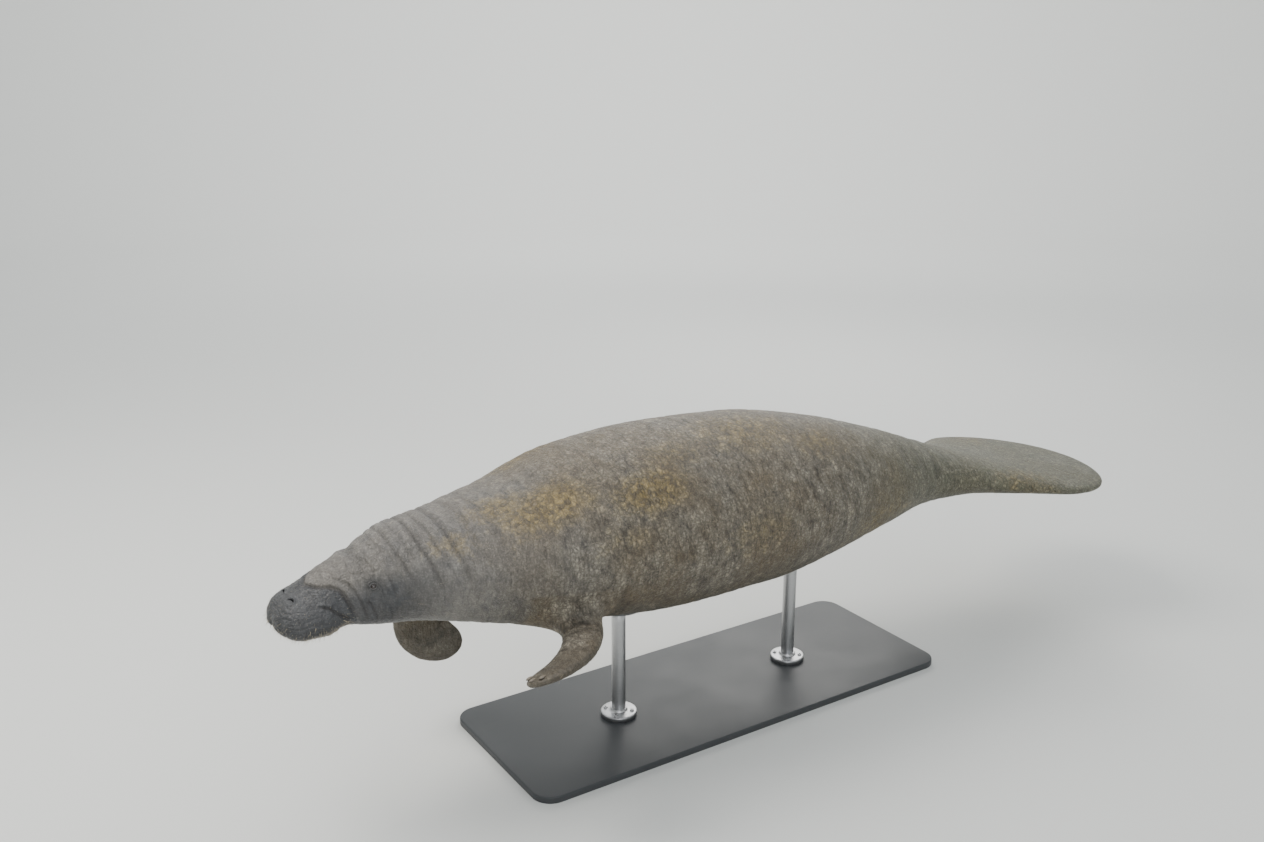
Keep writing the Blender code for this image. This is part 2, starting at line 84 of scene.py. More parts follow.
# Distance from the snout, half width, height over the spine, depth under it, droop
# towards the snout in degrees, how much wider the section is low down, squareness.
LANDMARKS = {
    "snout": (0.00, 0.095, 0.050, 0.034, 8.0, 0.10, 2.3),
    "lip pads": (0.070, 0.106, 0.062, 0.036, 8.0, 0.11, 2.3),
    "mouth corner": (0.185, 0.114, 0.102, 0.061, 9.0, 0.09, 2.2),
    "eyes": (0.250, 0.129, 0.116, 0.090, 9.0, 0.06, 2.1),
    "nape": (0.35, 0.160, 0.148, 0.124, 8.0, 0.03, 2.0),
    "neck": (0.47, 0.204, 0.144, 0.168, 5.0, 0.03, 2.0),
    "shoulders": (0.62, 0.262, 0.158, 0.210, 1.0, 0.04, 2.0),
    "chest": (0.85, 0.310, 0.236, 0.246, -1.0, 0.05, 2.0),
    "navel": (1.15, 0.335, 0.262, 0.274, -1.0, 0.06, 2.0),
    "flank": (1.45, 0.324, 0.254, 0.270, -2.0, 0.06, 2.0),
    "loin": (1.72, 0.282, 0.214, 0.234, -4.0, 0.04, 2.0),
    "vent": (1.98, 0.218, 0.158, 0.172, -7.0, 0.02, 2.0),
    "tail stock": (2.20, 0.170, 0.108, 0.108, -9.0, 0.00, 2.0),
    "tail root": (2.36, 0.184, 0.075, 0.075, -9.0, 0.00, 2.1),
    "tail middle": (2.52, 0.262, 0.052, 0.052, -8.0, 0.00, 2.3),
    "tail widest": (2.70, 0.340, 0.036, 0.036, -6.0, 0.00, 2.5),
    "tail tip": (3.00, 0.350, 0.024, 0.024, -2.0, 0.00, 2.6),
}
COLUMNS = ("at", "half_width", "height", "depth", "droop", "pear", "squareness")

SNOUT_DOME = 0.074
SNOUT_BLUNTNESS = 2.3
TAIL_ROUNDING = 0.30

# Distance from the snout, angle from the crown, radius and swell, on both sides.
FACE_FORMS = {
    "lip pad": (0.045, 112.0, 0.062, 0.009),
    "lip pad's end": (0.112, 108.0, 0.062, 0.012),
    "nostril cushion": (0.044, 30.0, 0.040, 0.003),
    "nose bridge": (0.100, 0.0, 0.060, 0.004),
    "cheek": (0.225, 104.0, 0.060, 0.006),
    "brow": (0.235, 44.0, 0.040, 0.005),
}
CHIN = (0.112, 0.052, 0.013)  # distance, radius and swell
# The cleft between the lip pads, under the snout.
CLEFT_AT = 0.012
CLEFT_DEPTH = 0.010
CLEFT_RADIUS = 0.013
CLEFT_LENGTH = 0.042

MOUTH_FRONT = 0.070
MUZZLE_END = 0.182
MOUTH_CORNER_ANGLE = 96.0
MOUTH_SWEEP = 0.45

EYE_AT = 0.245
EYE_ANGLE = 64.0
EYE_RADIUS = 0.0105
EYE_PROUD = 0.0010
NOSTRIL_AT = 0.057
NOSTRIL_OUT = 0.030  # of its middle from the midline

# Distance out from the midline, distance from the snout, height over the spine,
# breadth of the blade and its thickness.
FLIPPER_JOINTS = {
    "left": {
        "shoulder": (0.125, 0.700, -0.100, 0.180, 0.165),
        "elbow": (0.252, 0.748, -0.156, 0.120, 0.092),
        "wrist": (0.330, 0.710, -0.172, 0.112, 0.062),
        "palm": (0.386, 0.626, -0.188, 0.136, 0.044),
        "tip": (0.406, 0.515, -0.203, 0.142, 0.028),
    },
    "right": {
        "shoulder": (0.125, 0.690, -0.105, 0.215, 0.165),
        "elbow": (0.262, 0.574, -0.222, 0.150, 0.096),
        "wrist": (0.312, 0.516, -0.295, 0.148, 0.064),
        "palm": (0.312, 0.540, -0.368, 0.158, 0.044),
        "tip": (0.272, 0.640, -0.425, 0.156, 0.028),
    },
}
# Which way each blade's upper face looks: out from the midline and up.
FLIPPER_FACES = {"left": (-0.45, 1.0), "right": (1.0, 0.30)}
FLIPPER_ROUNDING = 0.085
FLIPPER_SQUARENESS = 2.2
NAIL_PLACES = (-0.195, 0.015, 0.210)
NAIL_BACK_FROM_TIP = (0.026, 0.015, 0.022)
NAIL_BED = 0.40  # of the blade's thickness, from its middle
NAIL_SIZE = (0.0085, 0.0110, 0.0042)  # half width, half length, half height
NAIL_DOME = (0.12, 0.25, 0.38, 0.50, 0.62, 0.73, 0.83, 0.91, 0.97, 1.0)
NAIL_ROOT = ((0.96, -0.22), (0.80, -0.42), (0.50, -0.58), (0.2, -0.62))  # share out, height
NAIL_RIDGES = 0.035
NAIL_BED_SWELL = 0.0010
NAIL_GRIME = "#3a3128"
NAILS = [(side, number) for side in ("left", "right") for number in range(len(NAIL_PLACES))]

BASE_LENGTH = 1.50
BASE_WIDTH = 0.56
BASE_THICKNESS = 0.020
BASE_CORNER = 0.060
BASE_EDGE = 0.004
BASE_FOOT = ((0.0015, 0.0), (0.0003, 0.0006), (0.0, 0.0016))  # inset, height
CORNER_STEPS = 16
ROD_RADIUS = 0.021
ROD_SPREAD = 0.33
FOOT_RADIUS = 0.055
FOOT_HEIGHT = 0.016
FOOT_EDGE = 0.005
# The collar of a foot round its rod: distance out from the rod, height over the foot.
FOOT_COLLAR = (
    (0.0130, -0.0006),
    (0.0080, -0.0004),
    (0.0035, 0.0),
    (0.0030, 0.0050),
    (0.0022, 0.0066),
    (0.0004, 0.0070),
    (-0.0040, 0.0070),
)
SADDLE_RADIUS = 0.085
SADDLE_DEPTH = 0.034
PAD_INSET = 0.0008  # inside the saddle's rim
PAD_BULGE = 0.0006
PAD_EDGE = 0.0004
PAD_LIFT = 0.0003  # clear of the saddle
PAD_PRESS = 0.0006  # into the hide
SADDLE_LIP = ((0.0, 0.0010), (0.0008, 0.0002), (0.0030, 0.0))  # inset, drop under the pad
JOINT_GAP = 0.0003
PAD_THICKNESS = 0.003
SCREW_RADIUS = 0.0062
SCREW_HEIGHT = 0.0050
SCREW_HEAD = ((1.0, 0.0), (1.0, 0.62), (0.93, 0.86), (0.74, 1.0))  # shares of the two sizes
SCREW_RING = (FOOT_RADIUS + ROD_RADIUS) / 2 + 0.003
SCREW_SUNK = 0.0012
CORNEA_BULGE = 0.0005
CORNEA_EDGE = 56.0  # degrees from the gaze
CORNEA_SPREAD = 0.46

# The hide's mesh: rings round the body, close together on the head.

HEAD_COLUMNS = 240
TRUNK_COLUMNS = 120
DOME_RINGS = 56
FACE_SPACING = 0.0024
FACE_BACK = 0.30  # the face's close rings end here
NECK_WIDENING = 1.03  # each of the neck's ring gaps over the one before, up to the largest
NECK_SPACING = 0.0060
COLUMN_CHANGE = 0.46  # each pair of the head's columns becomes one of the trunk's
TRUNK_SPACING = 0.0092
TAIL_END_RINGS = 34

NOSE_TIP = 0.0003
# Distances from the snout and their heights on the unwrap, which gives the head more room.
MAP_HEIGHTS = (
    (0.0, 0.20, 0.46, 0.60, 0.90, 2.34, BODY_LENGTH),
    (0.004, 0.20, 0.34, 0.40, 0.58, 0.86, 0.996),
)
MAP_BODY_WIDTH = 0.80  # the rest of the unwrap holds the flippers
MAP_FLIPPER_SIDES = (0.83, 0.99)
MAP_FLIPPERS = {"left": (0.02, 0.47), "right": (0.52, 0.97)}

EYE_PATCH = (8, 7)  # rows and columns each way, taken out round an eye
NOSTRIL_PATCH = (9, 8)
FLIPPER_PATCH = (15, 9)
WINDOW_RINGS = 15
BEND_ROUNDS = 18
FILLET_LENGTH = 0.070
FILLET_PULL = (0.50, 0.42)  # at the body and at the flipper, as shares of the gap
FILLET_RINGS = 10
FLIPPER_SPACING = 0.0068
FLIPPER_END_RINGS = 14
EVEN_AT_ROOT = 0.4  # how evenly a flipper's columns are spread where it starts
EVEN_PER_RING = 0.05  # and how much more at each ring after that

# Eyelids: half length and half height of the opening, then each roll's height, its
# distance from the opening and its width, then the scale, depth and share of the
# unwrap of the rings that turn in under the lids.
LID_OPENING = (0.0068, 0.0050)
LID_ROLLS = (
    (0.0013, 0.0022, 0.0017),
    (-0.0016, 0.0056, 0.0014),
    (0.0006, 0.0082, 0.0014),
    (-0.0011, 0.0108, 0.0013),
)
LID_CROWDING = 1.25  # over 1 draws the window's rings together towards its middle
LID_RIM = 0.0022
LID_GAP = 0.0004
LID_PUCKER = 0.0003
LID_PUCKERS = 9
LID_UNDERSIDE = ((0.93, 0.0008, 0.22), (0.80, 0.0030, 0.16), (0.45, 0.0045, 0.08))
EYE_SOCKET_DEPTH = 0.0070
EYE_PUPIL = (0.066, "#050403")  # angle off the gaze as a share of half a turn, colour
EYE_WHITE = ((0.205, "#0b0806"), (0.240, "#3c2f27"), (0.300, "#6b5a4c"))

# Nostrils: half length, half width and bend of the slit, heights of its valve, lip and
# hollow, then the scale, depth, way back and share of the unwrap of the passage's rings.
NOSTRIL_SLIT = (0.0125, 0.0021, 0.0046)
NOSTRIL_LEAN = 0.0035
NOSTRIL_CROWDING = 1.3
NOSTRIL_VALVE = 0.0022
NOSTRIL_DISH = 0.0016
NOSTRIL_LIP = 0.0010
NOSTRIL_SINK = 0.0012
NOSTRIL_PASSAGE = (
    (0.94, 0.004, 0.0, 0.21),
    (0.84, 0.008, 0.001, 0.16),
    (0.62, 0.013, 0.003, 0.09),
)
NOSTRIL_DEPTH = 0.0150

FLESH = (
    "muzzle lower_jaw head neck chest belly loin tail_stock tail_paddle"
    " flipper_left flipper_right"
).split()

# Folds of the face, on both sides: path of (distance, angle), half width and depth.
FACE_FOLDS = {
    "lip pad's top": (
        ((0.100, 54), (0.1285, 69), (0.146, 82.5), (0.165, 91), (0.186, 99)),
        0.0030,
        0.0042,
    ),
    "lip pad wrinkle 1": (((0.030, 84), (0.070, 84), (0.110, 88), (0.140, 94)), 0.0022, 0.0011),
    "lip pad wrinkle 2": (((0.022, 94), (0.060, 93), (0.105, 96), (0.150, 101)), 0.0022, 0.0012),
    "lip pad wrinkle 3": (((0.030, 104), (0.075, 102), (0.120, 104)), 0.0022, 0.0011),
    "lip pad wrinkle 4": (((0.050, 75), (0.085, 74), (0.118, 80)), 0.0022, 0.0009),
    "cheek 1": (
        ((0.150, 18), (0.180, 38), (0.198, 58), (0.206, 80), (0.210, 98), (0.204, 118)),
        0.0030,
        0.0026,
    ),
    "cheek 2": (((0.214, 74), (0.228, 88), (0.234, 104), (0.230, 124)), 0.0034, 0.0024),
    "cheek 3": (((0.262, 84), (0.272, 100), (0.272, 118), (0.264, 138)), 0.0036, 0.0020),
    "brow": (((0.200, 34), (0.222, 42), (0.248, 45), (0.276, 50)), 0.0030, 0.0018),
    "under the eye": (((0.222, 76), (0.244, 80), (0.272, 78)), 0.0026, 0.0014),
    "behind the eye": (((0.276, 52), (0.286, 62), (0.288, 74), (0.282, 86)), 0.0028, 0.0016),
    "nose wrinkle 1": (((0.078, 30), (0.088, 44), (0.092, 58)), 0.0022, 0.0010),
    "nose wrinkle 2": (((0.092, 14), (0.104, 30), (0.112, 46)), 0.0022, 0.0010),
}
COLLAR = (
    (0.106, 0),
    (0.112, 10),
    (0.1235, 22.5),
    (0.150, 38),
    (0.1685, 52.5),
    (0.177, 73.5),
    (0.188, 97),
    (0.193, 110),
    (0.188, 126),
)
COLLAR_SIZE = (0.0046, 0.0048)
# Angles round the head and how far back the muzzle's slate reaches at each.
COLLAR_EDGE = ([0, 22, 52, 73, 97, 180], [0.106, 0.1235, 0.168, 0.177, 0.188, 0.188])
MOUTH_SIZE = (0.0026, 0.0085)
CLEFT_STOPS = (0.006, 0.020, 0.036, 0.052)  # distances of the crease down the cleft
CLEFT_SIZE = (0.0030, 0.0060)
LIP_STEP = 0.0050  # how far the lower lip sits behind the lip pads
RIM_PATH = ((0.008, 150), (0.022, 132), (0.050, 122), (0.085, 117), (0.125, 112), (0.160, 106))

# Folds round the neck and the tail stock: distance, reach to each side in degrees,
# how far their ends lie back, half width and depth.
NECK_FOLDS = (
    (0.236, 54, 0.022, 0.0130, 0.0070),
    (0.292, 62, 0.030, 0.0032, 0.0016),
    (0.318, 96, 0.036, 0.0040, 0.0026),
    (0.345, 70, 0.020, 0.0036, 0.0018),
    (0.378, 118, 0.040, 0.0050, 0.0034),
    (0.412, 84, 0.024, 0.0048, 0.0022),
    (0.452, 126, 0.036, 0.0062, 0.0036),
    (0.505, 96, 0.026, 0.0075, 0.0026),
    (0.560, 104, 0.030, 0.0085, 0.0028),
    (2.020, 92, -0.030, 0.0110, 0.0024),
    (2.105, 110, -0.030, 0.0110, 0.0030),
    (2.180, 120, -0.026, 0.0110, 0.0034),
    (2.250, 104, -0.022, 0.0110, 0.0030),
    (2.318, 88, -0.018, 0.0110, 0.0022),
)
THROAT_FOLDS = (0.262, 0.300, 0.345, 0.395, 0.452, 0.520)
THROAT_SIZE = (0.0042, 0.0024)
# Folds behind and before each flipper: distance, angles, bow and depth.
FLANK_FOLDS = (
    (0.862, 108, 150, 0.010, 0.0050),
    (0.884, 116, 146, 0.010, 0.0034),
    (0.602, 112, 140, -0.010, 0.0034),
    (0.580, 118, 136, -0.010, 0.0024),
)
FLANK_FOLD_WIDTH = 0.0095
# Share of a flipper's length, depth.
FLIPPER_FOLDS = ((0.37, 0.0024), (0.44, 0.0030), (0.50, 0.0024), (0.57, 0.0018), (0.66, 0.0014))
FLIPPER_FOLD_WIDTH = 0.0050

FACE_PATH_SPACING = 0.0018
BODY_PATH_SPACING = 0.003
PATH_BLOCK = 4000  # points measured at once, to spare memory
FOLD_FADE = 0.22  # share of a fold's length over which each end fades
FOLD_ROLL = 0.22  # height of the roll beside a fold, as a share of its depth
FOLD_ROLL_AWAY = 2.3  # half widths from the fold's middle
# Painted shade in the folds: folds at least this deep and at most this wide get the darkest painted
# shade.
FOLD_SHADE_DEPTH = 0.004  # folds at least this deep and at most this wide are darkest
FOLD_SHADE_WIDTH = 0.005

FOLD_SEEDS = {"body": 11, "left": 5, "right": 6}

# Fine wrinkles: area, depth, noise scale along x, y and z, and sharpness.
WRINKLES = (
    ("trunk", 0.0016, (6, 22, 6), 3),
    ("trunk", 0.0009, (16, 44, 16), 2),
    ("head", 0.0008, (48, 120, 48), 2),
    ("head", 0.0010, (20, 46, 20), 2),
    ("tail", 0.0009, (30, 9, 30), 2),
    ("lip pads", 0.0007, (36, 30, 120), 2),
    ("flippers", 0.0009, (50, 50, 90), 2),
)
UNEVENNESS = 0.0011
# Strength of the painted shade down the sides and under the head and neck.
JOWL_SHADE = 0.72
PAD_HAIR_LEAN = (0.0, -0.35, -1.0)

# Patches of algae and old skin: distance, angle, length, breadth and strength.
ALGAE_PATCHES = (
    (0.70, 36, 0.150, 0.085, 1.00),
    (0.60, 20, 0.100, 0.060, 0.80),
    (0.98, 50, 0.130, 0.070, 1.00),
    (1.10, 30, 0.130, 0.070, 0.55),
    (1.38, 20, 0.230, 0.110, 0.75),
    (1.62, 34, 0.150, 0.080, 0.60),
    (0.88, 74, 0.110, 0.070, 0.40),
    (1.30, 88, 0.180, 0.080, 0.45),
    (1.86, 120, 0.200, 0.120, 0.55),
    (0.46, 44, 0.080, 0.050, 0.50),
    (0.78, -30, 0.150, 0.080, 0.85),
    (1.16, -46, 0.160, 0.090, 0.75),
    (1.52, -26, 0.180, 0.090, 0.60),
    (0.56, -64, 0.090, 0.060, 0.50),
    (1.78, -70, 0.160, 0.100, 0.55),
    (2.52, 60, 0.140, 0.110, 0.50),
    (2.74, -40, 0.160, 0.120, 0.45),
)

# Patterns in the hide: stretch, scale, detail, roughness and twist of each noise.
HIDE_NOISES = {
    "cloud": (None, 4.5, 5.0, 0.6, 0.0),
    "mottle": ((22, 34, 22), 1.0, 7.0, 0.72, 0.0),
    "speck": (None, 170.0, 3.0, 0.6, 0.0),
    "wrinkle": ((24, 84, 24), 1.0, 3.0, 0.55, 0.8),
    "crease": ((9, 40, 9), 1.0, 2.0, 0.5, 0.6),
    "lines": ((40, 45, 210), 1.0, 3.0, 0.55, 0.4),
}
PEBBLE_SCALE = 190.0  # pebbles about 5 mm apart
PLATE_SCALE = 78.0  # worn plates about 13 mm apart
CRACK_SCALE = 165.0  # cracks of the muzzle, about 6 mm apart
CRACK_DRIFT = 0.030
# Of these marks, fold, front and belly are painted shade, and slate is partly painted shade.
HIDE_MARKS = "slate front algae rim fold belly head rear flipper".split()
# Which mark takes how much of which colour.
HIDE_TINTS = (
    ("rear", 0.50, "rear"),
    ("head", 0.55, "head"),
    # The belly's tint is painted shade on the lower flanks and underside.
    ("belly", 0.45, "belly"),
    ("flipper", 0.70, "dark"),
)

HAIR_SIDES = 4
HAIR_RINGS = 5
HAIR_PATCH = 0.003  # across each hair's patch on the unwrap
HAIR_CROWDING = 1.1
HAIR_ROOT = 0.06  # of its length, under the skin
HAIR_TAPER = 1.6
HAIR_TIP = 0.10  # of its thickness
HAIR_SHAPE = ("Shortest", "Thickness", "Bend", "Lean", "Untidiness")
HAIR_INPUTS = {
    "Hide": "Geometry",
    "Where": "String",
    **dict.fromkeys(("Spacing", "Length", *HAIR_SHAPE), "Float"),
    "Seed": "Int",
    "Horn": "Material",
}
# Each coat's mark and size settings, then its shape, shortest and thickness as shares
# of the length.
HAIR_COATS = {
    "bristles": ("bristle", "bristle", 0.45, 0.058, 0.30, 0.55, 0.30),
    "muzzle_hairs": ("stubble", "stubble", 0.50, 0.045, 0.35, 0.60, 0.25),
    "body_hairs": ("hair", "body", 0.60, 0.011, 0.45, 1.00, 0.30),
}
SCREW_INPUTS = {
    "Screw": "Geometry",
    "Count": "Int",
    "Ring radius": "Float",
    "Place": "Vector",
    "Steel": "Material",
}

# Short names for the kinds of node that materials use most.
KINDS = {
    "noise": ("ShaderNodeTexNoise", {}),
    "cells": ("ShaderNodeTexVoronoi", {}),
    "range": ("ShaderNodeMapRange", {}),
    "ramp": ("ShaderNodeValToRGB", {}),
    "mark": ("ShaderNodeAttribute", {}),
    "mix": ("ShaderNodeMix", {"data_type": "RGBA"}),
    "tone": ("ShaderNodeMix", {"data_type": "RGBA", "blend_type": "MULTIPLY"}),
}

CAMERA_PLACE = (2.853, -2.135, 1.983)
CAMERA_AZIMUTH = 57.0
CAMERA_PITCH = 17.0
SENSOR_WIDTH = 36
CLIP_END = 200
FLOOR_RADIUS = 10.0
FLOOR_BEND = 3.5  # radius of the curve from the floor up into the backdrop
FLOOR_STEPS = 16
BACKDROP_HEIGHT = 9.0
SKY_COLOUR = (0.90, 0.95, 1.0, 1)
SKY_STRENGTH = 1.10
# Each light's place, what it is aimed at, its size, power in watts and colour.
LIGHTS = (
    ("key", (-1.4, -2.6, 4.4), (0, -0.2, 0.6), 2.4, 190, (1.0, 0.97, 0.92)),
    ("fill", (5.4, -2.9, 3.1), (0, -0.2, 0.6), 3.5, 118, (0.94, 0.97, 1.0)),
    ("rim", (-3.2, 3.2, 3.4), (0, 0.2, 0.7), 2.5, 90, (1.0, 0.98, 0.95)),
    ("backdrop", (-6.5, 4.2, 7.0), (-11.3, 7.3, 3.0), 6.0, 560, (1.0, 1.0, 1.0)),
)


def smooth_profile(at, stations, values):
    """A smooth curve through the values at the stations, with no overshoot."""
    step = np.diff(stations)
    slope = np.diff(values) / step
    tangent = np.zeros(len(stations))
    tangent[0], tangent[-1] = slope[0], slope[-1]
    same_way = slope[:-1] * slope[1:] > 0
    lean = 2 * slope[:-1] * slope[1:] / np.where(same_way, slope[:-1] + slope[1:], 1)
    tangent[1:-1] = np.where(same_way, lean, 0)
    at = np.clip(at, stations[0], stations[-1])
    i = np.clip(np.searchsorted(stations, at, side="right") - 1, 0, len(step) - 1)
    t = (at - stations[i]) / step[i]
    return (
        (2 * t**3 - 3 * t**2 + 1) * values[i]
        + (t**3 - 2 * t**2 + t) * step[i] * tangent[i]
        + (3 * t**2 - 2 * t**3) * values[i + 1]
        + (t**3 - t**2) * step[i] * tangent[i + 1]
    )


def landmark(column, at):
    """One of the body's sizes at a distance from the snout."""
    rows = np.array(list(LANDMARKS.values()))
    return smooth_profile(at, rows[:, 0], rows[:, COLUMNS.index(column)])


def make_spine():
    """Points of the bent spine, evenly spaced, as distance, y and z."""
    at = np.linspace(0.0, BODY_LENGTH, SPINE_STEPS)
    droop = np.radians(landmark("droop", at))
    step = at[1] - at[0]

    def summed(rate):
        return np.concatenate([[0.0], np.cumsum((rate[1:] + rate[:-1]) / 2 * step)])

    y, z = summed(np.cos(droop)), summed(np.sin(droop))
    navel = LANDMARKS["navel"][0]
    y -= np.interp(BALANCE_POINT, at, y)
    z += SPINE_HEIGHT - np.interp(navel, at, z)
    return at, y, z


SPINE = make_spine()


def end_rounding(at):
    """Share of its full section that the body keeps near the snout and tail tip."""
    snout = np.clip(1 - at / SNOUT_DOME, 0, 1)
    snout = (1 - snout**SNOUT_BLUNTNESS) ** (1 / SNOUT_BLUNTNESS)
    tail = np.clip((at - BODY_LENGTH + TAIL_ROUNDING) / TAIL_ROUNDING, 0, 1)
    return snout, np.sqrt(1 - tail**2)


def bare_hull(at, angle):
    """Points of the body before the soft forms of the face, angle 0 at the crown."""
    at, angle = np.broadcast_arrays(at, angle)
    power = 2 / landmark("squareness", at)
    side = np.sign(np.sin(angle)) * np.abs(np.sin(angle)) ** power
    rise = np.sign(np.cos(angle)) * np.abs(np.cos(angle)) ** power
    snout, tail = end_rounding(at)
    width = landmark("half_width", at) * snout * tail
    height = np.where(rise > 0, landmark("height", at), landmark("depth", at))
    height = height * snout * np.sqrt(tail)
    x = width * side * (1 - landmark("pear", at) * rise)
    up = height * rise
    droop = np.radians(landmark("droop", at))
    y = np.interp(at, SPINE[0], SPINE[1]) - up * np.sin(droop)
    z = np.interp(at, SPINE[0], SPINE[2]) + up * np.cos(droop)
    return np.stack([x, y, z], axis=-1)


def hull_normals(at, angle):
    """Outward unit normals of the bare body."""
    nudge = 0.0015
    turn = 0.01
    ahead = np.clip(at - nudge, 1e-5, BODY_LENGTH - 1e-5)
    behind = np.clip(at + nudge, 1e-5, BODY_LENGTH - 1e-5)
    along = bare_hull(behind, angle) - bare_hull(ahead, angle)
    across = bare_hull(at, angle + turn) - bare_hull(at, angle - turn)
    return unit(np.cross(across, along))


def face_relief(points):
    """How far the face swells or sinks at each point of the bare body."""
    relief = np.zeros(points.shape[:-1])
    for at, angle, radius, swell in FACE_FORMS.values():
        centre = bare_hull(np.array(at), np.radians(angle))
        mirrored = np.abs(points[..., 0]) - centre[0]
        apart = mirrored**2 + ((points[..., 1:] - centre[1:]) ** 2).sum(axis=-1)
        relief += swell * np.exp(-apart / (2 * (radius / 2) ** 2))
    at, radius, swell = CHIN
    centre = bare_hull(np.array(at), math.pi)
    apart = ((points - centre) ** 2).sum(axis=-1)
    relief += swell * np.exp(-apart / (2 * (radius / 2) ** 2))
    split = bare_hull(np.array(CLEFT_AT), math.pi)
    near = points[..., 0] ** 2 / CLEFT_RADIUS**2
    low = ((points[..., 1:] - split[1:]) ** 2).sum(axis=-1) / CLEFT_LENGTH**2
    return relief - CLEFT_DEPTH * np.exp(-near - low)


def hull(at, angle, grow=0.0):
    """Points of the finished body, swollen or shrunk by a small allowance."""
    at, angle = np.broadcast_arrays(np.asarray(at, float), np.asarray(angle, float))
    points = bare_hull(at, angle)
    return points + hull_normals(at, angle) * (face_relief(points) + grow)[..., None]


def mouth_angle(at):
    """Angle from the crown at which the mouth line crosses a section."""
    share = np.clip((at - MOUTH_FRONT) / (MUZZLE_END - MOUTH_FRONT), 0, 1)
    corner = math.radians(MOUTH_CORNER_ANGLE)
    return math.pi - (math.pi - corner) * share**MOUTH_SWEEP


def flipper_frame(side, share):
    """Centre, forward, blade and face directions, breadth, thickness and length."""
    sign = 1 if side == "left" else -1
    rows = []
    for out, at, height, breadth, thickness in FLIPPER_JOINTS[side].values():
        y = np.interp(at, SPINE[0], SPINE[1])
        rows.append((sign * out, y, SPINE_HEIGHT + height, breadth, thickness))
    rows = np.array(rows)
    gaps = np.linalg.norm(np.diff(rows[:, :3], axis=0), axis=1)
    reach = np.concatenate([[0.0], np.cumsum(gaps)])
    length = reach[-1]

    def at(distance):
        return np.array([smooth_profile(distance, reach, column) for column in rows.T])

    here = at(share * length)
    step = 0.004
    ahead = at(min(share * length + step, length))
    back = at(max(share * length - step, 0.0))
    forward = Vector(ahead[:3] - back[:3]).normalized()
    outward, upward = FLIPPER_FACES[side]
    face_hint = Vector((sign * outward, 0.0, upward))
    blade = forward.cross(face_hint).normalized()
    face = blade.cross(forward).normalized()
    if face.dot(face_hint) < 0:
        face = -face
    into_end = np.clip(1 - (1 - share) * length / FLIPPER_ROUNDING, 0, 1)
    rounding = math.sqrt(1 - into_end**2)
    breadth = here[3] * rounding
    thickness = here[4] * math.sqrt(rounding)
    return Vector(here[:3]), forward, blade, face, breadth, thickness, length


def smoothstep(low, high, value):
    """0 below low, 1 above high and a soft rise between; low may be over high."""
    t = np.clip((value - low) / (high - low), 0, 1)
    return t * t * (3 - 2 * t)


def linear(colour):
    """An sRGB hex colour as the linear RGBA that shaders take."""
    levels = [int(colour[i : i + 2], 16) / 255 for i in (1, 3, 5)]
    levels = [c / 12.92 if c <= 0.04045 else ((c + 0.055) / 1.055) ** 2.4 for c in levels]
    return (*levels, 1.0)


def rgba(colour):
    """A hex colour or a colour setting as the linear RGBA that shaders take."""
    return linear(colour) if isinstance(colour, str) else (*colour[:3], 1.0)


def unit(values):
    """Directions brought to length 1."""
    return values / np.maximum(np.linalg.norm(values, axis=-1, keepdims=True), 1e-12)


def bell(value, width):
    """1 at 0, falling softly to nothing past about twice the width."""
    return np.exp(-((value / width) ** 2))


class HideMesh:
    """The hide while it is put together: points, what each one is, faces and unwrap."""

    def __init__(self):
        self.points, self.at, self.angle, self.part = [], [], [], []
        self.ease = []  # 1 where folds and wrinkles act, 0 where they don't
        self.faces = []
        self.corners = []  # place of each corner of each face on the unwrap

    def add(self, points, at, angle, part, ease):
        """Add points and give back their numbers."""
        start, count = len(self.points), len(points)
        self.points.extend(map(tuple, points))
        self.part.extend([part] * count)
        for values, value in ((self.at, at), (self.angle, angle), (self.ease, ease)):
            values.extend(np.broadcast_to(value, count))
        return list(range(start, start + count))

    def face(self, points, places):
        """Add one face with its corners' places on the unwrap."""
        self.faces.append(tuple(int(v) for v in points))
        self.corners.extend(tuple(place) for place in places)

    def band(self, near, far, near_map, far_map):
        """Close the band between two rings. A map has one place more than its ring."""
        for i in range(len(near)):
            j = (i + 1) % len(near)
            places = (near_map[i], near_map[i + 1], far_map[i + 1], far_map[i])
            self.face((near[i], near[j], far[j], far[i]), places)

    def close(self, ring, tip, ring_map, end):
        """Close a ring on one point, with its place on the unwrap or only that place's height."""
        for i, start in enumerate(ring):
            here, after = ring_map[i], ring_map[i + 1]
            place = end if np.ndim(end) else ((here[0] + after[0]) / 2, end)
            self.face((start, ring[(i + 1) % len(ring)], tip), (here, after, place))


def ring_places():
    """Distances of the head's rings and of the trunk's."""
    turn = np.linspace(0, math.pi / 2, DOME_RINGS + 1)[1:]
    dome = SNOUT_DOME * (1 - np.cos(turn))
    face = np.arange(SNOUT_DOME + FACE_SPACING, FACE_BACK, FACE_SPACING)
    neck = [face[-1]]
    step = FACE_SPACING
    while neck[-1] < COLUMN_CHANGE:
        step = min(step * NECK_WIDENING, NECK_SPACING)
        neck.append(neck[-1] + step)
    head = np.concatenate([dome, face, neck[1:]])
    flat_end = BODY_LENGTH - TAIL_ROUNDING
    count = int((flat_end - head[-1]) / TRUNK_SPACING)
    trunk = np.linspace(head[-1], flat_end, count + 1)[1:]
    turn = np.linspace(0, math.pi / 2, TAIL_END_RINGS + 1)[1:-1]
    return head, np.concatenate([trunk, flat_end + TAIL_ROUNDING * np.sin(turn)])


def body_map(at, columns):
    """Places of a ring on the unwrap, one more than its columns. The head gets more room."""
    across = MAP_BODY_WIDTH * np.arange(columns + 1) / columns
    return np.stack([across, np.full(columns + 1, np.interp(at, *MAP_HEIGHTS))], axis=1)


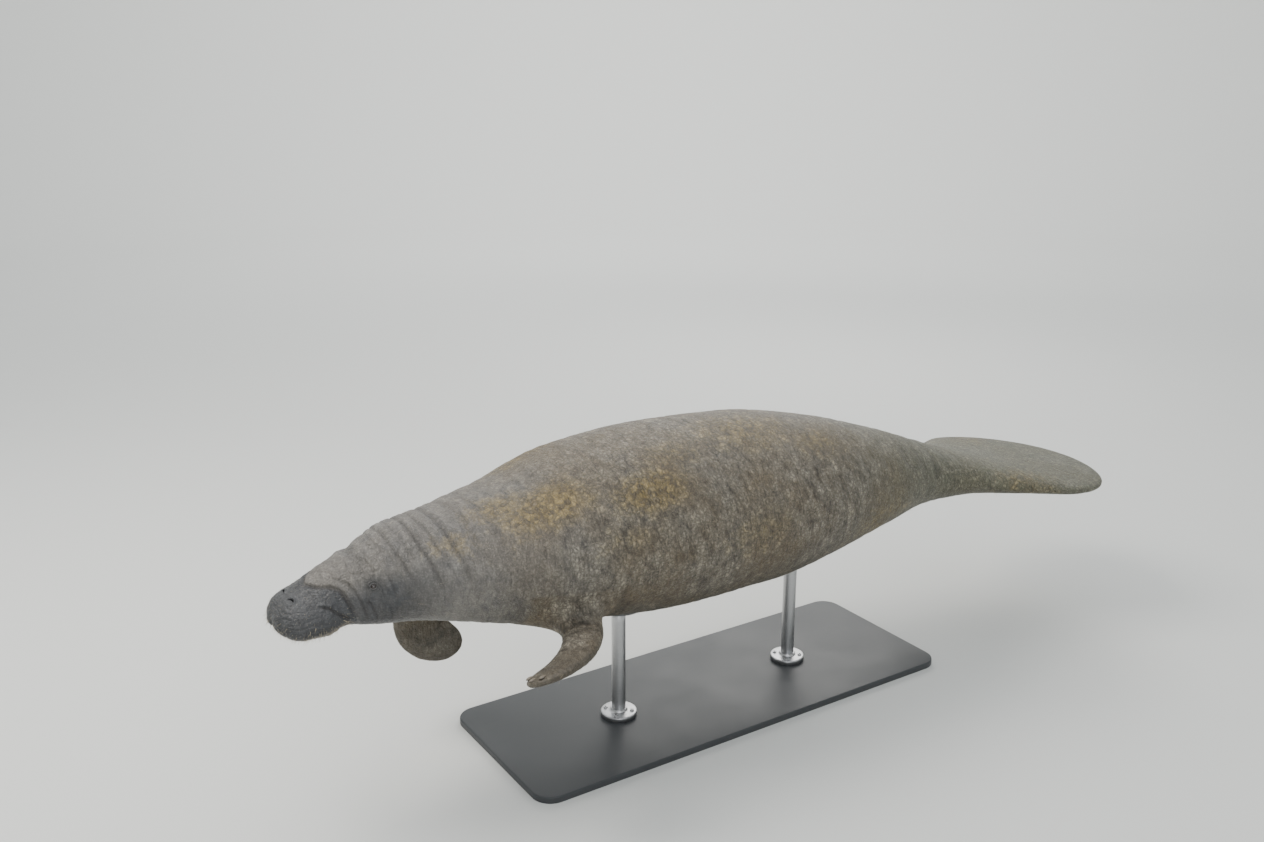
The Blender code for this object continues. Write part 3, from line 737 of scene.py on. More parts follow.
def body_rings(mesh, places, columns, coat):
    """Rings of points round the body, as a table of point numbers."""
    angles = -math.pi + 2 * math.pi * np.arange(columns) / columns
    return np.array([mesh.add(hull(at, angles, -coat), at, angles, "body", 1.0) for at in places])


def grid_faces(mesh, table, places, holes):
    """Faces of a table of rings, but for those inside the holes."""
    rows, columns = table.shape
    maps = [body_map(at, columns) for at in places]
    for i in range(rows - 1):
        for j in range(columns):
            if any(r0 <= i < r1 and c0 <= j < c1 for r0, r1, c0, c1 in holes):
                continue
            k = (j + 1) % columns
            corners = (maps[i][j], maps[i][j + 1], maps[i + 1][j + 1], maps[i + 1][j])
            mesh.face((table[i, j], table[i, k], table[i + 1, k], table[i + 1, j]), corners)


def hole_edge(table, places, hole):
    """Point numbers round a hole, in order, and their places on the unwrap."""
    r0, r1, c0, c1 = hole
    cells = [(r0, c) for c in range(c0, c1)] + [(r, c1) for r in range(r0, r1)]
    cells += [(r1, c) for c in range(c1, c0, -1)] + [(r, c0) for r in range(r1, r0, -1)]
    spots = [body_map(places[r], table.shape[1])[c] for r, c in cells]
    return [int(table[cell]) for cell in cells], np.array(spots)


def hole_round(places, columns, at, angle, reach):
    """The hole's rows and columns, centred on a place of the body."""
    row = int(np.argmin(np.abs(places - at)))
    column = round((angle + math.pi) / (2 * math.pi) * columns)
    return row - reach[0], row + reach[0], column - reach[1], column + reach[1]


def closed(places):
    """A ring's places with the first one again at the end."""
    return np.concatenate([places, places[:1]])


class SkinWindow:
    """A small area of the body, with flat directions across it."""

    def __init__(self, mesh, edge, edge_map, at, angle, coat):
        self.mesh, self.at, self.angle, self.coat = mesh, at, angle, coat
        self.edge_map, self.middle = edge_map, edge_map.mean(axis=0)
        self.last, self.last_map = edge, closed(edge_map)
        nudge, turn = 0.001, 0.01
        self.centre = hull(at, angle)
        self.along = hull(at + nudge, angle) - hull(at - nudge, angle)
        self.across = hull(at, angle + turn) - hull(at, angle - turn)
        self.per_at = np.linalg.norm(self.along) / (2 * nudge)
        self.per_angle = np.linalg.norm(self.across) / (2 * turn)
        self.along = self.along / np.linalg.norm(self.along)
        self.across = self.across / np.linalg.norm(self.across)
        self.normal = np.cross(self.across, self.along)
        self.normal /= np.linalg.norm(self.normal)
        self.edge_at = np.array([mesh.at[v] for v in edge])
        self.edge_angle = np.array([mesh.angle[v] for v in edge])
        offset_a = (self.edge_at - at) * self.per_at
        offset_c = (self.edge_angle - angle) * self.per_angle
        self.turn = np.arctan2(offset_c, offset_a)
        self.reach = np.hypot(offset_a, offset_c)

    def ring(self, share, out_a, out_c, lift, ease):
        """A ring between the window's edge at share 0 and given offsets at share 1."""
        at = self.edge_at * (1 - share) + (self.at + out_a / self.per_at) * share
        angle = self.edge_angle * (1 - share) + (self.angle + out_c / self.per_angle) * share
        points = hull(at, angle) + hull_normals(at, angle) * lift[:, None]
        self.join(points, at, angle, 1 - 0.75 * share, ease)

    def sunk(self, out_a, out_c, lift, spread):
        """A ring at flat offsets from the middle, under the skin's own surface."""
        points = self.centre + self.along * out_a[:, None] + self.across * out_c[:, None]
        points = points + self.normal * lift[:, None]
        self.join(points, self.at, self.angle, spread, 0.0)

    def join(self, points, at, angle, spread, ease):
        """Add a ring and its band to the last one."""
        ring = self.mesh.add(points, at, angle, "window", ease)
        ring_map = closed(self.middle + (self.edge_map - self.middle) * spread)
        self.mesh.band(self.last, ring, self.last_map, ring_map)
        self.last, self.last_map = ring, ring_map

    def close(self, depth):
        """Close the window with one point under its middle."""
        point = self.centre - self.normal * depth
        tip = self.mesh.add([point], self.at, self.angle, "window", 0.0)[0]
        self.mesh.close(self.last, tip, self.last_map, self.middle)


def window_shares(crowding):
    """Shares of the way in from a window's edge, closer together towards its middle."""
    return 1 - (1 - np.linspace(0, 1, WINDOW_RINGS)[1:]) ** crowding


def make_eye_window(window):
    """Puckered lids that close on the eyeball, then turn in under it."""
    turn = window.turn
    lid = 1 / np.sqrt((np.cos(turn) / LID_OPENING[0]) ** 2 + (np.sin(turn) / LID_OPENING[1]) ** 2)
    ball = -(EYE_RADIUS - EYE_PROUD) + np.sqrt(EYE_RADIUS**2 - lid**2)
    for share in window_shares(LID_CROWDING):
        apart = window.reach * (1 - share) + lid * share - lid
        pucker = np.cos(LID_PUCKERS * turn + 2.5 * np.sin(turn)) * bell(apart - 0.004, 0.004)
        roll = sum(height * bell(apart - away, width) for height, away, width in LID_ROLLS)
        rim = bell(apart, LID_RIM)
        lift = -window.coat * (1 - rim) + (ball + LID_GAP) * rim + roll + LID_PUCKER * pucker
        fade = min(1.0, share * 5)
        lift = -window.coat * (1 - fade) + lift * fade
        ease = float(np.clip(1 - share * 1.6, 0, 1))
        window.ring(share, lid * np.cos(turn), lid * np.sin(turn), lift, ease)
    for scale, sink, spread in LID_UNDERSIDE:
        window.sunk(lid * np.cos(turn) * scale, lid * np.sin(turn) * scale, ball - sink, spread)
    window.close(EYE_SOCKET_DEPTH)


def make_nostril_window(window, side):
    """A crescent slit with a soft valve behind it, turned down into a short passage."""
    turn = window.turn  # 0 towards the tail, a quarter turn towards the crown's far side
    half, gap, bend = NOSTRIL_SLIT
    out_c = half * np.sin(turn)
    out_a = gap * np.cos(turn) + bend * np.cos(turn) ** 2 + NOSTRIL_LEAN * side * np.sin(turn)
    valve, dish = np.clip(np.cos(turn), 0, 1), np.clip(-np.cos(turn), 0, 1)
    for share in window_shares(NOSTRIL_CROWDING):
        swell = (NOSTRIL_VALVE * valve - NOSTRIL_DISH * dish) * smoothstep(0.35, 0.85, share)
        lip = NOSTRIL_LIP * bell(share - 0.86, 0.10)
        lift = -window.coat + swell + lip - NOSTRIL_SINK * share**3
        window.ring(share, out_a, out_c, lift, float(np.clip(1 - share * 1.4, 0, 1)))
    for scale, sink, back, spread in NOSTRIL_PASSAGE:
        window.sunk(out_a * scale + back, out_c * scale, np.full(len(turn), -sink), spread)
    window.close(NOSTRIL_DEPTH)


def flipper_root(side, places):
    """Where a flipper's axis leaves the body: distance, angle and share of its length."""
    sign = 1 if side == "left" else -1
    at, angle = np.meshgrid(places, sign * np.radians(np.arange(90, 175, 1.0)), indexing="ij")
    skin = hull(at, angle)
    best = None
    for share in np.linspace(0.05, 0.5, 46):
        gap = np.linalg.norm(skin - np.array(flipper_frame(side, share)[0]), axis=-1)
        spot = np.unravel_index(np.argmin(gap), gap.shape)
        if best is None or gap[spot] < best[0]:
            best = (gap[spot], at[spot], angle[spot], share)
    return best[1:]


def flipper_section(side, share, turns, coat):
    """Points of a flipper's section at given turns round it."""
    centre, _, blade, face, breadth, thickness, _ = flipper_frame(side, share)
    power = 2 / FLIPPER_SQUARENESS
    across = np.sign(np.cos(turns)) * np.abs(np.cos(turns)) ** power
    proud = np.sign(np.sin(turns)) * np.abs(np.sin(turns)) ** power
    coat = min(coat, thickness * 0.2)
    wide = np.outer(across * max(breadth / 2 - coat, 0.0), np.array(blade))
    thick = np.outer(proud * max(thickness / 2 - coat, 0.0), np.array(face))
    return np.array(centre) + wide + thick


def ease_bends(sections, rounds):
    """Round off sharp bends along a limb, with its first and last sections kept."""
    sections = np.array(sections)
    for _ in range(rounds):
        sections[1:-1] = (sections[:-2] + 2 * sections[1:-1] + sections[2:]) / 4
    return list(sections)


def fillet_sections(side, mesh, edge, turns, start, root_share, first_share, coat):
    """Sections of a soft fillet from the body's hole out to a flipper's first section."""
    edge_points = np.array([mesh.points[v] for v in edge])
    at, angle = (np.array([values[v] for v in edge]) for values in (mesh.at, mesh.angle))
    normals = hull_normals(at, angle)
    towards = flipper_section(side, root_share, turns, coat) - edge_points
    towards -= normals * (towards * normals).sum(axis=1, keepdims=True)
    outward = np.array(flipper_frame(side, first_share)[1])
    apart = np.linalg.norm(start - edge_points, axis=1, keepdims=True)
    one = edge_points + unit(towards) * apart * FILLET_PULL[0]
    two = start - outward * apart * FILLET_PULL[1]
    sections = [edge_points]
    for t in np.linspace(0, 1, FILLET_RINGS + 1)[1:]:
        near = (1 - t) ** 3 * edge_points + 3 * (1 - t) ** 2 * t * one
        sections.append(near + 3 * (1 - t) * t**2 * two + t**3 * start)
    return sections, at, angle


def make_flipper_hide(mesh, side, edge, root_share, coat):
    """A flipper's hide, run out of the body's with a soft fillet."""
    centre, _, blade, face, breadth, thickness, length = flipper_frame(side, root_share)
    rel = np.array([mesh.points[v] for v in edge]) - np.array(centre)
    turns = np.arctan2(rel @ np.array(face) / thickness, rel @ np.array(blade) / breadth)
    turns = np.unwrap(turns)
    count = len(edge)
    way = np.sign(turns[-1] - turns[0])
    even = turns.mean() + way * 2 * math.pi * (np.arange(count) - (count - 1) / 2) / count
    first_share = root_share + FILLET_LENGTH / length
    start = flipper_section(side, first_share, turns * (1 - EVEN_AT_ROOT) + even * EVEN_AT_ROOT, coat)
    sections, at, angle = fillet_sections(
        side, mesh, edge, turns, start, root_share, first_share, coat
    )
    round_from = 1 - FLIPPER_ROUNDING / length
    straight = np.arange(first_share, round_from, FLIPPER_SPACING / length)
    ends = np.sin(np.linspace(0, math.pi / 2, FLIPPER_END_RINGS)[:-1])
    for number, share in enumerate([*straight[1:], *(round_from + (1 - round_from) * ends)]):
        blend = min(1.0, EVEN_AT_ROOT + number * EVEN_PER_RING)
        sections.append(flipper_section(side, share, turns * (1 - blend) + even * blend, coat))
    bent = FILLET_RINGS + len(straight)
    sections[:bent] = ease_bends(sections[:bent], BEND_ROUNDS)
    low, high = MAP_FLIPPERS[side]
    across = np.linspace(*MAP_FLIPPER_SIDES, count + 1)
    total = len(sections)

    def place(number):
        return np.stack([across, np.full(count + 1, low + (high - low) * number / total)], axis=1)

    part = "flipper_" + side
    last = edge
    for number, points in enumerate(sections[1:]):
        ring = mesh.add(points, at, angle, part, 1.0)
        mesh.band(last, ring, place(number), place(number + 1))
        last = ring
    tip = mesh.add([flipper_frame(side, 1.0)[0]], at[0], angle[0], part, 0.0)[0]
    mesh.close(last, tip, place(total - 1), high)


def nostril_angle():
    """Angle from the crown at which the nostril's middle lies."""
    angles = np.radians(np.linspace(1, 60, 400))
    out = hull(np.full(400, NOSTRIL_AT), angles)[:, 0]
    return float(np.interp(NOSTRIL_OUT, out, angles))


def join_head_and_trunk(mesh, head, trunk, head_at, trunk_at):
    """Faces in which each pair of the head's columns meets one of the trunk's."""
    wide_map = body_map(head_at[-1], HEAD_COLUMNS)
    narrow_map = body_map(trunk_at[0], TRUNK_COLUMNS)
    for j in range(TRUNK_COLUMNS):
        k = (j + 1) % TRUNK_COLUMNS
        wide = [head[-1, (2 * j + i) % HEAD_COLUMNS] for i in range(3)]
        corners = [wide_map[2 * j + i] for i in range(3)] + [narrow_map[j + 1], narrow_map[j]]
        mesh.face((*wide, trunk[0, k], trunk[0, j]), corners)


def close_ends(mesh, head, trunk, head_at, trunk_at, coat):
    """Close the snout and the tail, each on one point."""
    nose = np.array([mesh.points[v] for v in head[0]]).mean(axis=0) - (0, NOSE_TIP, 0)
    nose = mesh.add([nose], 0.0, 0.0, "body", 0.0)[0]
    mesh.close(head[0], nose, body_map(head_at[0], HEAD_COLUMNS), 0.0)
    tail = np.array([mesh.points[v] for v in trunk[-1]]).mean(axis=0)
    tail[1] = hull(BODY_LENGTH, 0.0)[1] - coat
    tail = mesh.add([tail], BODY_LENGTH, 0.0, "body", 0.0)[0]
    mesh.close(trunk[-1], tail, body_map(trunk_at[-1], TRUNK_COLUMNS), 1.0)


def assemble_hide(coat):
    """The smooth hide, before its folds and wrinkles."""
    mesh = HideMesh()
    head_at, trunk_at = ring_places()
    head = body_rings(mesh, head_at, HEAD_COLUMNS, coat)
    trunk = body_rings(mesh, trunk_at, TRUNK_COLUMNS, coat)
    holes, windows = [], []
    for side in (1, -1):
        for at, angle, reach in (
            (EYE_AT, math.radians(EYE_ANGLE), EYE_PATCH),
            (NOSTRIL_AT, nostril_angle(), NOSTRIL_PATCH),
        ):
            hole = hole_round(head_at, HEAD_COLUMNS, at, angle * side, reach)
            holes.append(hole)
            windows.append((*hole_edge(head, head_at, hole), at, angle * side))
    grid_faces(mesh, head, head_at, holes)
    join_head_and_trunk(mesh, head, trunk, head_at, trunk_at)
    roots = []
    for side in ("left", "right"):
        at, angle, share = flipper_root(side, trunk_at[trunk_at < 1.0])
        hole = hole_round(trunk_at, TRUNK_COLUMNS, at, angle, FLIPPER_PATCH)
        roots.append((side, hole, share))
    grid_faces(mesh, trunk, trunk_at, [hole for _, hole, _ in roots])
    close_ends(mesh, head, trunk, head_at, trunk_at, coat)
    for edge, edge_map, at, angle in windows:
        window = SkinWindow(mesh, edge, edge_map, at, angle, coat)
        if at == EYE_AT:
            make_eye_window(window)
        else:
            make_nostril_window(window, math.copysign(1, angle))
    for side, hole, share in roots:
        make_flipper_hide(mesh, side, hole_edge(trunk, trunk_at, hole)[0], share, coat)
    return mesh


def tidy_points(mesh):
    """Leave out the points inside the holes, and give arrays in their place."""
    used = np.zeros(len(mesh.points), bool)
    for face in mesh.faces:
        used[list(face)] = True
    number = np.cumsum(used) - 1
    mesh.faces = [tuple(int(number[v]) for v in face) for face in mesh.faces]
    for name in ("points", "at", "angle", "ease", "part"):
        setattr(mesh, name, np.array(getattr(mesh, name))[used])


def path_on_body(stops, spacing=FACE_PATH_SPACING):
    """A smooth path over the body through (distance, angle in degrees) stops."""
    stops = np.array(stops, float)
    at, angle = stops[:, 0], np.radians(stops[:, 1])
    points = hull(at, angle)
    reach = np.concatenate([[0.0], np.cumsum(np.linalg.norm(np.diff(points, axis=0), axis=1))])
    dense = np.linspace(0, reach[-1], max(8, int(reach[-1] / spacing)))
    return hull(smooth_profile(dense, reach, at), smooth_profile(dense, reach, angle))


def distance_to_path(points, path, reach):
    """Which points lie near a path, how far off, and how far along it as a share."""
    low, high = path.min(axis=0) - reach, path.max(axis=0) + reach
    near = np.flatnonzero(np.all((points > low) & (points < high), axis=1))
    gaps, spots = np.zeros(len(near)), np.zeros(len(near), int)
    for start in range(0, len(near), PATH_BLOCK):
        block = slice(start, start + PATH_BLOCK)
        apart = points[near[block], None, :] - path[None, :, :]
        gap = np.sqrt((apart**2).sum(axis=2))
        spots[block], gaps[block] = gap.argmin(axis=1), gap.min(axis=1)
    return near, gaps, spots / (len(path) - 1)


def press_fold(points, sink, shade, path, half_width, depth, open_end=False):
    """Press one fold into the hide, with a soft roll on either side of it, and paint shade along its
    groove.
    """
    near, gap, share = distance_to_path(points, path, half_width * 5)
    ends = smoothstep(0.0, FOLD_FADE, share)
    if not open_end:
        ends = ends * smoothstep(1.0, 1 - FOLD_FADE, share)
    groove = bell(gap, half_width)
    roll = bell(gap - FOLD_ROLL_AWAY * half_width, half_width)
    sink[near] += ends * depth * (groove - FOLD_ROLL * roll)
    # Painted shade along the fold's groove, for the hide's colour.
    strength = min(1.0, depth / FOLD_SHADE_DEPTH) * min(1.0, FOLD_SHADE_WIDTH / half_width)
    shade[near] = np.maximum(shade[near], ends * strength * bell(gap, 1.2 * half_width))


def mirrored(stops):
    """The same path on the other side."""
    return [(at, -angle) for at, angle in stops]


def face_folds():
    """Folds of the face, the collar behind the muzzle, the mouth's line and the lip's cleft."""
    folds = []
    for stops, *size in FACE_FOLDS.values():
        folds += [(path_on_body(path), *size) for path in (stops, mirrored(stops))]
    folds.append((path_on_body(mirrored(COLLAR)[:0:-1] + list(COLLAR)), *COLLAR_SIZE))
    at = np.linspace(MOUTH_FRONT + 0.001, MUZZLE_END + 0.004, 24)
    line = list(zip(at, np.degrees(mouth_angle(at))))
    mouth = line[::-1] + [(a, 360 - d) for a, d in line]
    folds.append((path_on_body(mouth), *MOUTH_SIZE))
    folds.append((path_on_body([(at, 180) for at in CLEFT_STOPS]), *CLEFT_SIZE, True))
    return folds


def body_folds():
    """Folds across the neck, tail stock and throat, and before and behind the flippers."""
    folds = []
    wander = np.random.default_rng(FOLD_SEEDS["body"])
    for at, reach, back, half_width, depth in NECK_FOLDS:
        angles = np.linspace(-reach, reach, 9)
        drift = wander.normal(0, 0.25 * half_width, 9)
        stops = [(at + back * (a / reach) ** 2 + shift, a) for a, shift in zip(angles, drift)]
        folds.append((path_on_body(stops, BODY_PATH_SPACING), half_width, depth))
    for at in THROAT_FOLDS:
        reach = wander.uniform(44, 62)
        angles = np.linspace(180 - reach, 180 + reach, 7)
        stops = [(at + wander.normal(0, 0.002), angle) for angle in angles]
        folds.append((path_on_body(stops, BODY_PATH_SPACING), *THROAT_SIZE))
    for side in (1, -1):
        for at, low, high, bow, depth in FLANK_FOLDS:
            middle, span = (low + high) / 2, high - low
            angles = np.linspace(low, high, 5)
            stops = [(at + bow * (1 - ((a - middle) / span * 2) ** 2), side * a) for a in angles]
            folds.append((path_on_body(stops, BODY_PATH_SPACING), FLANK_FOLD_WIDTH, depth))
    return folds


def flipper_folds(side):
    """Wrinkles across a flipper at its armpit, elbow and wrist, on both faces."""
    folds = []
    wander = np.random.default_rng(FOLD_SEEDS[side])
    for share, depth in FLIPPER_FOLDS:
        middle = math.pi / 2 + wander.normal(0, 0.2)
        for face, shift, half_turn, part in (
            (middle, 0.01 * math.sin(7 * share), 1.7, 1.0),
            (-middle, 0.02, 1.5, 0.8),
        ):
            turns = np.linspace(face - half_turn, face + half_turn, 60)
            ring = flipper_section(side, share + shift, turns, 0.0)
            folds.append((ring, FLIPPER_FOLD_WIDTH, depth * part))
    return folds


def noise_at(points):
    """Soft noise between about -1 and 1."""
    return np.array([noise.noise(Vector(p)) for p in points])


def ridged(points, scale, power):
    """Sharp-valleyed noise between 0 and 1, 1 in the valleys."""
    return np.clip(1 - np.abs(noise_at(points * np.array(scale))) * 2.2, 0, 1) ** power


def on_flipper(mesh, side):
    """Which points belong to a flipper."""
    return mesh.part == "flipper_" + side


def nail_bed(points, side, number):
    """How far the skin swells round a nail."""
    centre, *ways = nail_frame(side, number)
    apart = points - np.array(centre)
    across, along, out = (apart @ np.array(way) for way in ways)
    reach = np.hypot(across / NAIL_SIZE[0], along / NAIL_SIZE[1])
    return NAIL_BED_SWELL * smoothstep(-0.004, 0.0, out) * bell(reach - 1.35, 0.30)


def wrinkle_hide(mesh, normals, amount):
    """Sink folds, wrinkles and slight unevenness into the hide, and give the painted shade of the
    folds.
    """
    points, at = mesh.points, mesh.at
    sink, shade = np.zeros(len(points)), np.zeros(len(points))
    flipper = on_flipper(mesh, "left") | on_flipper(mesh, "right")
    for fold in face_folds() + body_folds() + flipper_folds("left") + flipper_folds("right"):
        press_fold(points, sink, shade, *fold)
    below = smoothstep(0.0, 0.10, np.abs(mesh.angle) - mouth_angle(at))
    jaw = below * smoothstep(MOUTH_FRONT, MOUTH_FRONT + 0.020, at)
    sink += LIP_STEP * jaw * smoothstep(MUZZLE_END + 0.020, MUZZLE_END - 0.020, at) * ~flipper
    head = smoothstep(0.60, 0.30, at) * ~flipper
    tail = smoothstep(2.20, 2.50, at) * ~flipper
    areas = {
        "head": head,
        "tail": tail,
        "trunk": (1 - head) * (1 - tail) * ~flipper,
        "lip pads": smoothstep(0.19, 0.15, at) * ~flipper,
        "flippers": flipper,
    }
    for area, depth, scale, power in WRINKLES:
        sink += amount * depth * areas[area] * ridged(points, scale, power)
    for side, number in NAILS:
        sink -= nail_bed(points, side, number)
    sink += UNEVENNESS * (1 + noise_at(points * 6.0)) * (1 - tail) * ~flipper
    thin = np.where(mesh.part == "body", smoothstep(2.95, 2.70, at) * 0.7 + 0.3, 1.0)
    sink *= mesh.ease * thin
    return points - normals * sink[:, None], shade


def lip_marks(points):
    """The pale rim of the lip pads, and the band along it where bristles stand."""
    rim, bristle = np.zeros(len(points)), np.zeros(len(points))
    for stops in (RIM_PATH, mirrored(RIM_PATH)):
        near, gap, share = distance_to_path(points, path_on_body(stops), 0.06)
        pale = bell(gap, 0.008) * smoothstep(0.25, 0.5, share)
        rim[near] = np.maximum(rim[near], pale)
        bristle[near] = np.maximum(bristle[near], bell(gap, 0.020 - 0.006 * share))
    return rim, bristle


def algae_mark(points):
    """How thickly algae grow, from the patches."""
    algae = np.zeros(len(points))
    for at, degrees, length, breadth, strength in ALGAE_PATCHES:
        apart = points - hull(at, math.radians(degrees))
        gap = (apart[:, 1] / length) ** 2 + (apart[:, 0] ** 2 + apart[:, 2] ** 2) / breadth**2
        algae = np.maximum(algae, strength * np.exp(-gap))
    return algae


def hide_marks(mesh, shade):
    """The markings that colours and bristles follow, one number for each point. The fold, front and
    belly marks and part of the slate mark are painted shade.
    """
    points, at, turn = mesh.points, mesh.at, np.abs(np.degrees(mesh.angle))
    smooth_body = mesh.part == "body"
    body = smooth_body | (mesh.part == "window")
    muzzle = smoothstep(0.012, -0.012, at - np.interp(turn, *COLLAR_EDGE)) * body
    # Painted shade down the sides and under the head and neck, put into the slate mark.
    jowl_shade = JOWL_SHADE * smoothstep(0.60, 0.24, at) * smoothstep(38, 78, turn) * body
    # Painted shade on the lower front of the snout, and a painted shadow round each eye.
    front = smoothstep(0.040, 0.004, at) * smoothstep(50, 90, turn) * body
    eye_shadow_reach = ((at - EYE_AT) / 0.026) ** 2 + ((turn - EYE_ANGLE + 5) / 9.0) ** 2
    rim, bristle = lip_marks(points)
    below = smoothstep(0.02, 0.06, np.abs(mesh.angle) - mouth_angle(at)) * (at > MOUTH_FRONT)
    bristle *= body * (1 - 0.8 * below) * smooth_body * smoothstep(0.19, 0.16, at)
    flipper = np.zeros(len(points))
    for side in ("left", "right"):
        root = np.array(flipper_frame(side, 0.30)[0])
        apart = np.linalg.norm(points - root, axis=1)
        flipper += smoothstep(0.10, 0.22, apart) * on_flipper(mesh, side)
    return {
        "slate": np.maximum(muzzle, jowl_shade),
        "front": np.maximum(front, np.exp(-eye_shadow_reach) * body),
        "algae": algae_mark(points) * (body * (1 - muzzle)),
        "rim": rim * (body * (1 - below)),
        "fold": shade,
        # Painted shade: the lower flanks and underside darker.
        "belly": smoothstep(88, 150, turn) * smoothstep(0.2, 0.5, at) * body,
        "head": smoothstep(0.95, 0.40, at) * body,
        "bristle": bristle,
        "hair": smoothstep(0.17, 0.26, at) * (mesh.part != "window") * (1 - shade),
        "stubble": muzzle * smooth_body * smoothstep(1.0, 0.4, shade),
        "rear": smoothstep(1.5, 2.3, at) * body,
        "flipper": flipper,
    }


def lie_of_hair(mesh, normals):
    """Which way hairs lean: back over the body, down and forward on the lip pads."""
    at = np.clip(mesh.at, 0.004, BODY_LENGTH - 0.004)
    lean = hull(at + 0.002, mesh.angle) - hull(at - 0.002, mesh.angle)
    for side in ("left", "right"):
        lean[on_flipper(mesh, side)] = np.array(flipper_frame(side, 0.6)[1])
    body = (mesh.part == "body") | (mesh.part == "window")
    pads = smoothstep(0.17, 0.13, mesh.at)[:, None] * body[:, None]
    lean = unit(lean) * (1 - pads) + np.array(PAD_HAIR_LEAN) * pads
    lean -= normals * (lean * normals).sum(axis=1, keepdims=True)
    return unit(lean)


def object_of(data, name):
    """An object in the scene for a mesh, lamp or camera."""
    item = bpy.data.objects.new(name, data)
    bpy.context.scene.collection.objects.link(item)
    return item


def mesh_from(made, name):
    """A plain mesh with outward faces, smooth."""
    bmesh.ops.recalc_face_normals(made, faces=made.faces)
    if made.calc_volume(signed=True) < 0:
        bmesh.ops.reverse_faces(made, faces=made.faces)
    data = bpy.data.meshes.new(name)
    made.to_mesh(data)
    made.free()
    data.shade_smooth()
    return data


def object_from(made, name, sharp=None):
    """A closed mesh as an object, sharp past an angle in degrees."""
    data = mesh_from(made, name)
    if sharp:
        data.set_sharp_from_angle(angle=math.radians(sharp))
    return object_of(data, name)


def hide_object(mesh):
    """The hide as an object, with outward faces, its unwrap and no loose points."""
    data = bpy.data.meshes.new("hide")
    data.from_pydata(mesh.points.tolist(), [], mesh.faces)
    layer = data.uv_layers.new(name="OFBake")
    layer.data.foreach_set("uv", np.array(mesh.corners, np.float32).ravel())
    made = bmesh.new()
    made.from_mesh(data)
    bpy.data.meshes.remove(data)
    open_edges = sum(1 for edge in made.edges if not edge.is_manifold)
    if open_edges:
        raise RuntimeError(f"the hide has {open_edges} open edges")
    return object_from(made, "hide")


def point_normals(data):
    """Unit normals at the points of a mesh."""
    values = np.zeros(len(data.vertices) * 3, np.float32)
    data.vertex_normals.foreach_get("vector", values)
    return values.reshape(-1, 3).astype(float)


def add_mark(data, name, values, kind="FLOAT"):
    """Store a number or a direction for each point of a mesh."""
    layer = data.attributes.new(name, kind, "POINT")
    field = "vector" if kind == "FLOAT_VECTOR" else "value"
    layer.data.foreach_set(field, np.asarray(values, np.float32).ravel())


def put(tree, kind, *inputs, stops=(), out=0, **settings):
    """Add a node with its settings and links, and give back one of its outputs.

    A kind in capitals is a sum on numbers. Inputs fill the live sockets in order, and
    None leaves one alone. A setting is a property, or a socket whose name has _ for a
    space. A socket takes a value, a colour or another node's output. Stops are a ramp's.
    """
    sums = ("ShaderNodeMath", {"operation": kind})
    kind, usual = sums if kind.isupper() else KINDS.get(kind, (kind, {}))
    node = tree.nodes.new(kind)
    named = {}
    for key, value in {**usual, **settings}.items():
        if hasattr(node, key):
            setattr(node, key, value)
        else:
            named[key] = value
    live = [socket for socket in node.inputs if socket.enabled]
    by_name = {socket.name.replace(" ", "_"): socket for socket in live}
    for socket, value in [*zip(live, inputs), *((by_name[key], named[key]) for key in named)]:
        if isinstance(value, bpy.types.NodeSocket):
            tree.links.new(value, socket)
        elif value is not None:
            socket.default_value = rgba(value) if socket.type == "RGBA" else value
    for number, (place, colour) in enumerate(stops):
        ramp = node.color_ramp.elements
        stop = ramp[number] if number < len(ramp) else ramp.new(place)
        stop.position, stop.color = place, rgba(colour)
    outputs = [socket for socket in node.outputs if socket.enabled]
    return next((s for s in outputs if s.name == out), outputs[0] if outputs else None)


def new_material(name):
    """A material with an empty tree, the function that adds to it and its place on the object."""
    material = bpy.data.materials.new(name)
    material.use_nodes = True
    material.node_tree.nodes.clear()
    add = functools.partial(put, material.node_tree)
    return material, add, add("ShaderNodeTexCoord", out="Object")


def show(add, height, strength, distance, **looks):
    """End a material: its fine relief from a height, its shader and its output."""
    relief = add("ShaderNodeBump", Strength=strength, Distance=distance, Height=height)
    shader = add("ShaderNodeBsdfPrincipled", Normal=relief, **looks)
    add("ShaderNodeOutputMaterial", shader)


def toned(add, colour, value):
    """A colour made darker or lighter by a number."""
    return add("tone", 1.0, colour, add("ShaderNodeCombineColor", value, value, value))


def total(add, *terms):
    """The sum of a number and of (number, factor) pairs."""
    height, *rest = terms
    for value, factor in rest:
        height = add("MULTIPLY_ADD", value, factor, height)
    return height


